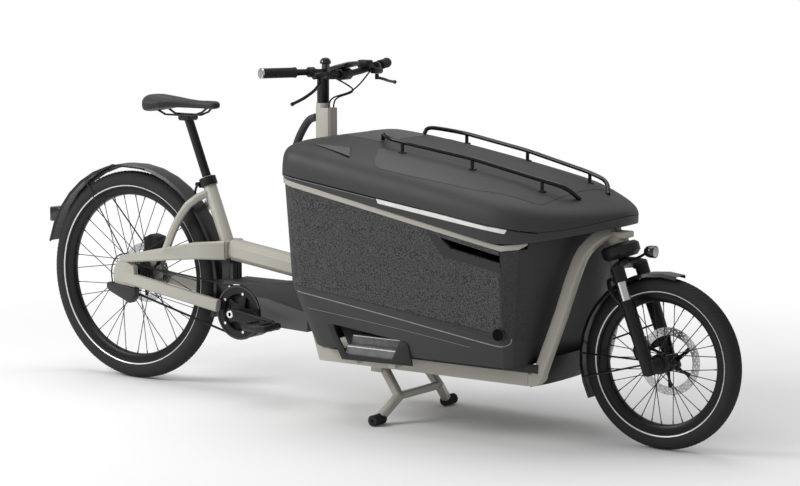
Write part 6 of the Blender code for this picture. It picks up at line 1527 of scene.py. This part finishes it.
def saddle_point(share, turn):
    """A point of the saddle at a share of its length and a turn round its section."""
    if share < 0.30:
        width = 0.071 + 0.007 * math.sin(math.pi * share / 0.30)
    else:
        width = 0.071 - 0.050 * math.sin(math.pi / 2 * min(1.0, (share - 0.30) / 0.70 * 1.45))
    close = min(1.0, share / 0.10, (1.0 - share) / 0.07)
    bulb = math.sqrt(max(0.0, 1.0 - (1.0 - close) ** 2)) * 0.90 + 0.10
    width *= bulb
    top = 0.9745 - 0.0170 * share ** 0.7 - 0.004 * math.sin(math.pi * share) - 0.010 * (1.0 - bulb)
    base = 0.9100 + 0.0210 * min(1.0, share / 0.40) + 0.010 * (1.0 - bulb)
    middle = base + (top - base) * 0.42
    across, up = math.cos(turn), math.sin(turn)
    y = width * math.copysign(abs(across) ** 0.72, across)
    if up >= 0:
        z = middle + (top - middle) * up ** 0.70
    else:
        z = middle + (base - middle) * abs(up) ** 0.42
        y *= 1.0 - 0.16 * abs(up)
    if up > 0.05:
        window = max(0.0, math.sin(math.pi * min(1.0, max(0.0, (share - 0.05) / 0.80))))
        channel = 0.0050 * window * bell(y, 0.0, 0.0100)
        seam = 0.0013 * bell(abs(y), 0.60 * width, 0.0018) * min(1.0, window * 3)
        z -= channel + seam
    if -0.35 < up < 0.12:
        y *= 1.0 - 0.022 * bell(up, -0.12, 0.09)
    return SADDLE_REAR + (SADDLE_NOSE - SADDLE_REAR) * share, y, z


def saddle_cover():
    """The padded saddle with its channel, seams and drawn-in skirt."""
    around, along = 96, 72
    turns = [math.tau * i / around for i in range(around + 1)]
    rows = [[saddle_point(j / along, turn) for turn in turns] for j in range(along + 1)]
    piece = smooth(rolled("saddle_cover", rows), 70)
    fit(piece, "saddle", "saddle", ["saddle"])


def grip(side):
    """A ribbed rubber grip with its end cap."""
    node = f"grip_{SIDE_NAMES[side]}"
    start, end = (Vector((point.x, side * point.y, point.z)) for point in (GRIP_START, GRIP_END))
    axis = (end - start).normalized()
    toward = axis.cross(UP).normalized()
    profile = list(GRIP_FLANGE)
    base, top = 0.0148, 0.0157
    for place in (0.0320 + 0.0058 * k for k in range(GRIP_RIBS)):
        profile += [(base, place), (top, place + 0.0010), (top, place + 0.0036), (base, place + 0.0046)]
    piece = spun(f"{node}_ribbed", profile + GRIP_END_PROFILE, start, 32, axis, toward)
    fit(smooth(piece), "rubber", node, [node])
    fit(smooth(spun(f"{node}_cap", GRIP_CAP, start, 32, axis, toward)), "silver", node)


def display_screen():
    """The display's glass."""
    place = Matrix.Translation((0.878 - CENTRE, 0.0, 1.091)) @ Matrix.Rotation(math.radians(-14), 4, "Y")
    glass = brick("display_screen", (0.0, 0.0, 0.0), (0.058, 0.050, 0.0012), 0.0004)
    glass.data.transform(place @ Matrix.Translation((0.006, 0.0, 0.0074)))
    fit(smooth(glass), "screen", "display")


class BikeCockpit(bpy.types.Operator):
    """Saddle, seat post, bars, grips, levers, display and hoses"""

    bl_idname = "cargo_bike.cockpit"
    bl_label = "Saddle and Bars"

    def execute(self, context):
        saddle_cover()
        for node in (
            "seat_post", "seat_clamp", "clamp_lever", "stem", "handlebar", "brake_lever_left",
            "brake_lever_right",
        ):
            refined(node, "black_metal", 0.0007)
        refine_all((("bell", "gloss", 0.0006), ("display", "gloss", 0.0006)))
        for side in (1, -1):
            grip(side)
        for title, replaced, points in HOSES:
            fit(hose(title, points), "rubber", "brake_hoses", replaced)
        display_screen()
        return {"FINISHED"}


# Stage

WHITE = (1.0, 1.0, 1.0, 1.0)
FLOOR_SIZE = 16.0
# Distances from the bike at which the floor starts to fade and is white
FLOOR_FADE = (0.9, 2.9)
SURROUND_STRENGTH = 0.42
# Lamps: place, target, size and share of the key lamp's power
LAMPS = {
    "key_lamp": ((-3.0, -3.4, 3.2), (-0.3, 0.0, 0.4), (2.6, 2.0), 1.0),
    "top_lamp": ((-0.4, 0.4, 4.0), (0.0, 0.0, 0.4), (3.5, 2.5), 0.45),
}
SENSOR_WIDTH = 36.0
FOCAL_LENGTH = 114.5
CAMERA_PLACE = (4.6769, -6.4917, 1.5910)
CAMERA_DIP = 7.53
CAMERA_TURN = 35.0


def floor_material():
    """A pale floor that keeps the bike's shadow and ends in white."""
    material = bpy.data.materials.new("pale_floor")
    material.use_nodes = True
    tree = material.node_tree
    shader = tree.nodes["Principled BSDF"]
    shader.inputs["Roughness"].default_value = 0.9
    shader.inputs["Specular IOR Level"].default_value = 0.1
    vector = tree.nodes.new("ShaderNodeTexCoord").outputs["Object"]
    pale = stage_settings().floor
    values = {"Dark": (*shade(pale, 0.995), 1.0), "Light": (*pale, 1.0), "Smoothest": 0.85, "Roughest": 0.95}
    tone = place_group(tree, "mottle", vector, {**values, "Scale": 0.5})
    tree.links.new(tone.outputs["Colour"], shader.inputs["Base Color"])
    away = add_node(tree, "VectorMath", {0: vector}, operation="LENGTH").outputs["Value"]
    start, end = FLOOR_FADE
    links = {"Value": away}
    far = add_node(tree, "MapRange", links, interpolation_type="SMOOTHSTEP", from_min=start, from_max=end)
    path = tree.nodes.new("ShaderNodeLightPath")
    seen = math_node(tree, "MULTIPLY", far.outputs["Result"], path.outputs["Is Camera Ray"])
    white = add_node(tree, "Emission", {}, strength=1.0)
    white.inputs["Color"].default_value = WHITE
    links = {"Fac": seen, 1: shader.outputs["BSDF"], 2: white.outputs["Emission"]}
    mix = add_node(tree, "MixShader", links)
    tree.links.new(mix.outputs["Shader"], tree.nodes["Material Output"].inputs["Surface"])
    return material


def stage_floor():
    """A pale floor under the bike."""
    bpy.ops.object.select_all(action="DESELECT")
    bpy.ops.mesh.primitive_plane_add(size=FLOOR_SIZE, location=(0.0, 0.0, 0.0))
    floor = settle(bpy.context.active_object, "studio_floor")
    floor.data.materials.append(floor_material())


def stage_world():
    """An even pale surround, white where the camera sees it."""
    world = bpy.data.worlds.new("studio_surround")
    bpy.context.scene.world = world
    world.use_nodes = True
    tree = world.node_tree
    light = tree.nodes["Background"]
    light.inputs["Color"].default_value = WHITE
    path = tree.nodes.new("ShaderNodeLightPath").outputs
    seen = math_node(tree, "MAXIMUM", path["Is Camera Ray"], path["Is Transmission Ray"])
    strength = add_node(tree, "MapRange", {"Value": seen}, to_min=SURROUND_STRENGTH, to_max=1.0)
    tree.links.new(strength.outputs["Result"], light.inputs["Strength"])


def stage_lamps():
    """Large soft lamps that point at the bike."""
    for title, (place, target, size, share) in LAMPS.items():
        data = bpy.data.lights.new(title, "AREA")
        data.shape = "RECTANGLE"
        data.size, data.size_y = size
        data.energy = stage_settings().key_power * share
        lamp = linked(title, data)
        lamp.location = place
        lamp.rotation_euler = (Vector(target) - Vector(place)).to_track_quat("-Z", "Y").to_euler()


def stage_camera():
    """The camera at the photograph's place."""
    data = bpy.data.cameras.new("camera")
    data.sensor_width = SENSOR_WIDTH
    data.lens = FOCAL_LENGTH
    data.clip_end = 200.0
    camera = linked("camera", data)
    camera.location = CAMERA_PLACE
    camera.rotation_euler = (math.radians(90.0 - CAMERA_DIP), 0.0, math.radians(CAMERA_TURN))
    bpy.context.scene.camera = camera
    bpy.context.scene.view_settings.view_transform = "Standard"


class BikeStage(bpy.types.Operator):
    """Pale floor, soft lamps and the camera"""

    bl_idname = "cargo_bike.stage"
    bl_label = "Stage"

    def execute(self, context):
        stage_floor()
        stage_world()
        stage_lamps()
        stage_camera()
        return {"FINISHED"}


class BikePanel(bpy.types.Panel):
    """Lists the pieces and the stage"""

    bl_idname = "VIEW3D_PT_cargo_bike"
    bl_label = "Cargo Bike"
    bl_space_type = "VIEW_3D"
    bl_region_type = "UI"
    bl_category = "Cargo Bike"

    def draw(self, context):
        for piece in PIECES:
            self.layout.operator(piece.bl_idname)
        scene = context.scene
        for settings in (scene.bike_colours, scene.bike_sizes, scene.bike_stage):
            for name in type(settings).__annotations__:
                self.layout.prop(settings, name)


PIECES = (BikeShell, BikeFrame, BikeFork, BikeDrive, BikeWheels, BikeCockpit, BikeStage)
CLASSES = (BikeColours, BikeSizes, StageSettings, *PIECES, BikePanel)


def register():
    for made in CLASSES:
        bpy.utils.register_class(made)
    bpy.types.Scene.bike_colours = bpy.props.PointerProperty(type=BikeColours)
    bpy.types.Scene.bike_sizes = bpy.props.PointerProperty(type=BikeSizes)
    bpy.types.Scene.bike_stage = bpy.props.PointerProperty(type=StageSettings)


def unregister():
    del bpy.types.Scene.bike_stage
    del bpy.types.Scene.bike_sizes
    del bpy.types.Scene.bike_colours
    for made in reversed(CLASSES):
        bpy.utils.unregister_class(made)


def main():
    """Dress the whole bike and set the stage."""
    register()
    bpy.ops.cargo_bike.shell()
    bpy.ops.cargo_bike.frame()
    bpy.ops.cargo_bike.fork()
    bpy.ops.cargo_bike.drive()
    bpy.ops.cargo_bike.wheels()
    bpy.ops.cargo_bike.cockpit()
    bpy.ops.cargo_bike.stage()
    bpy.context.view_layer.update()


if __name__ == "__main__":
    main()
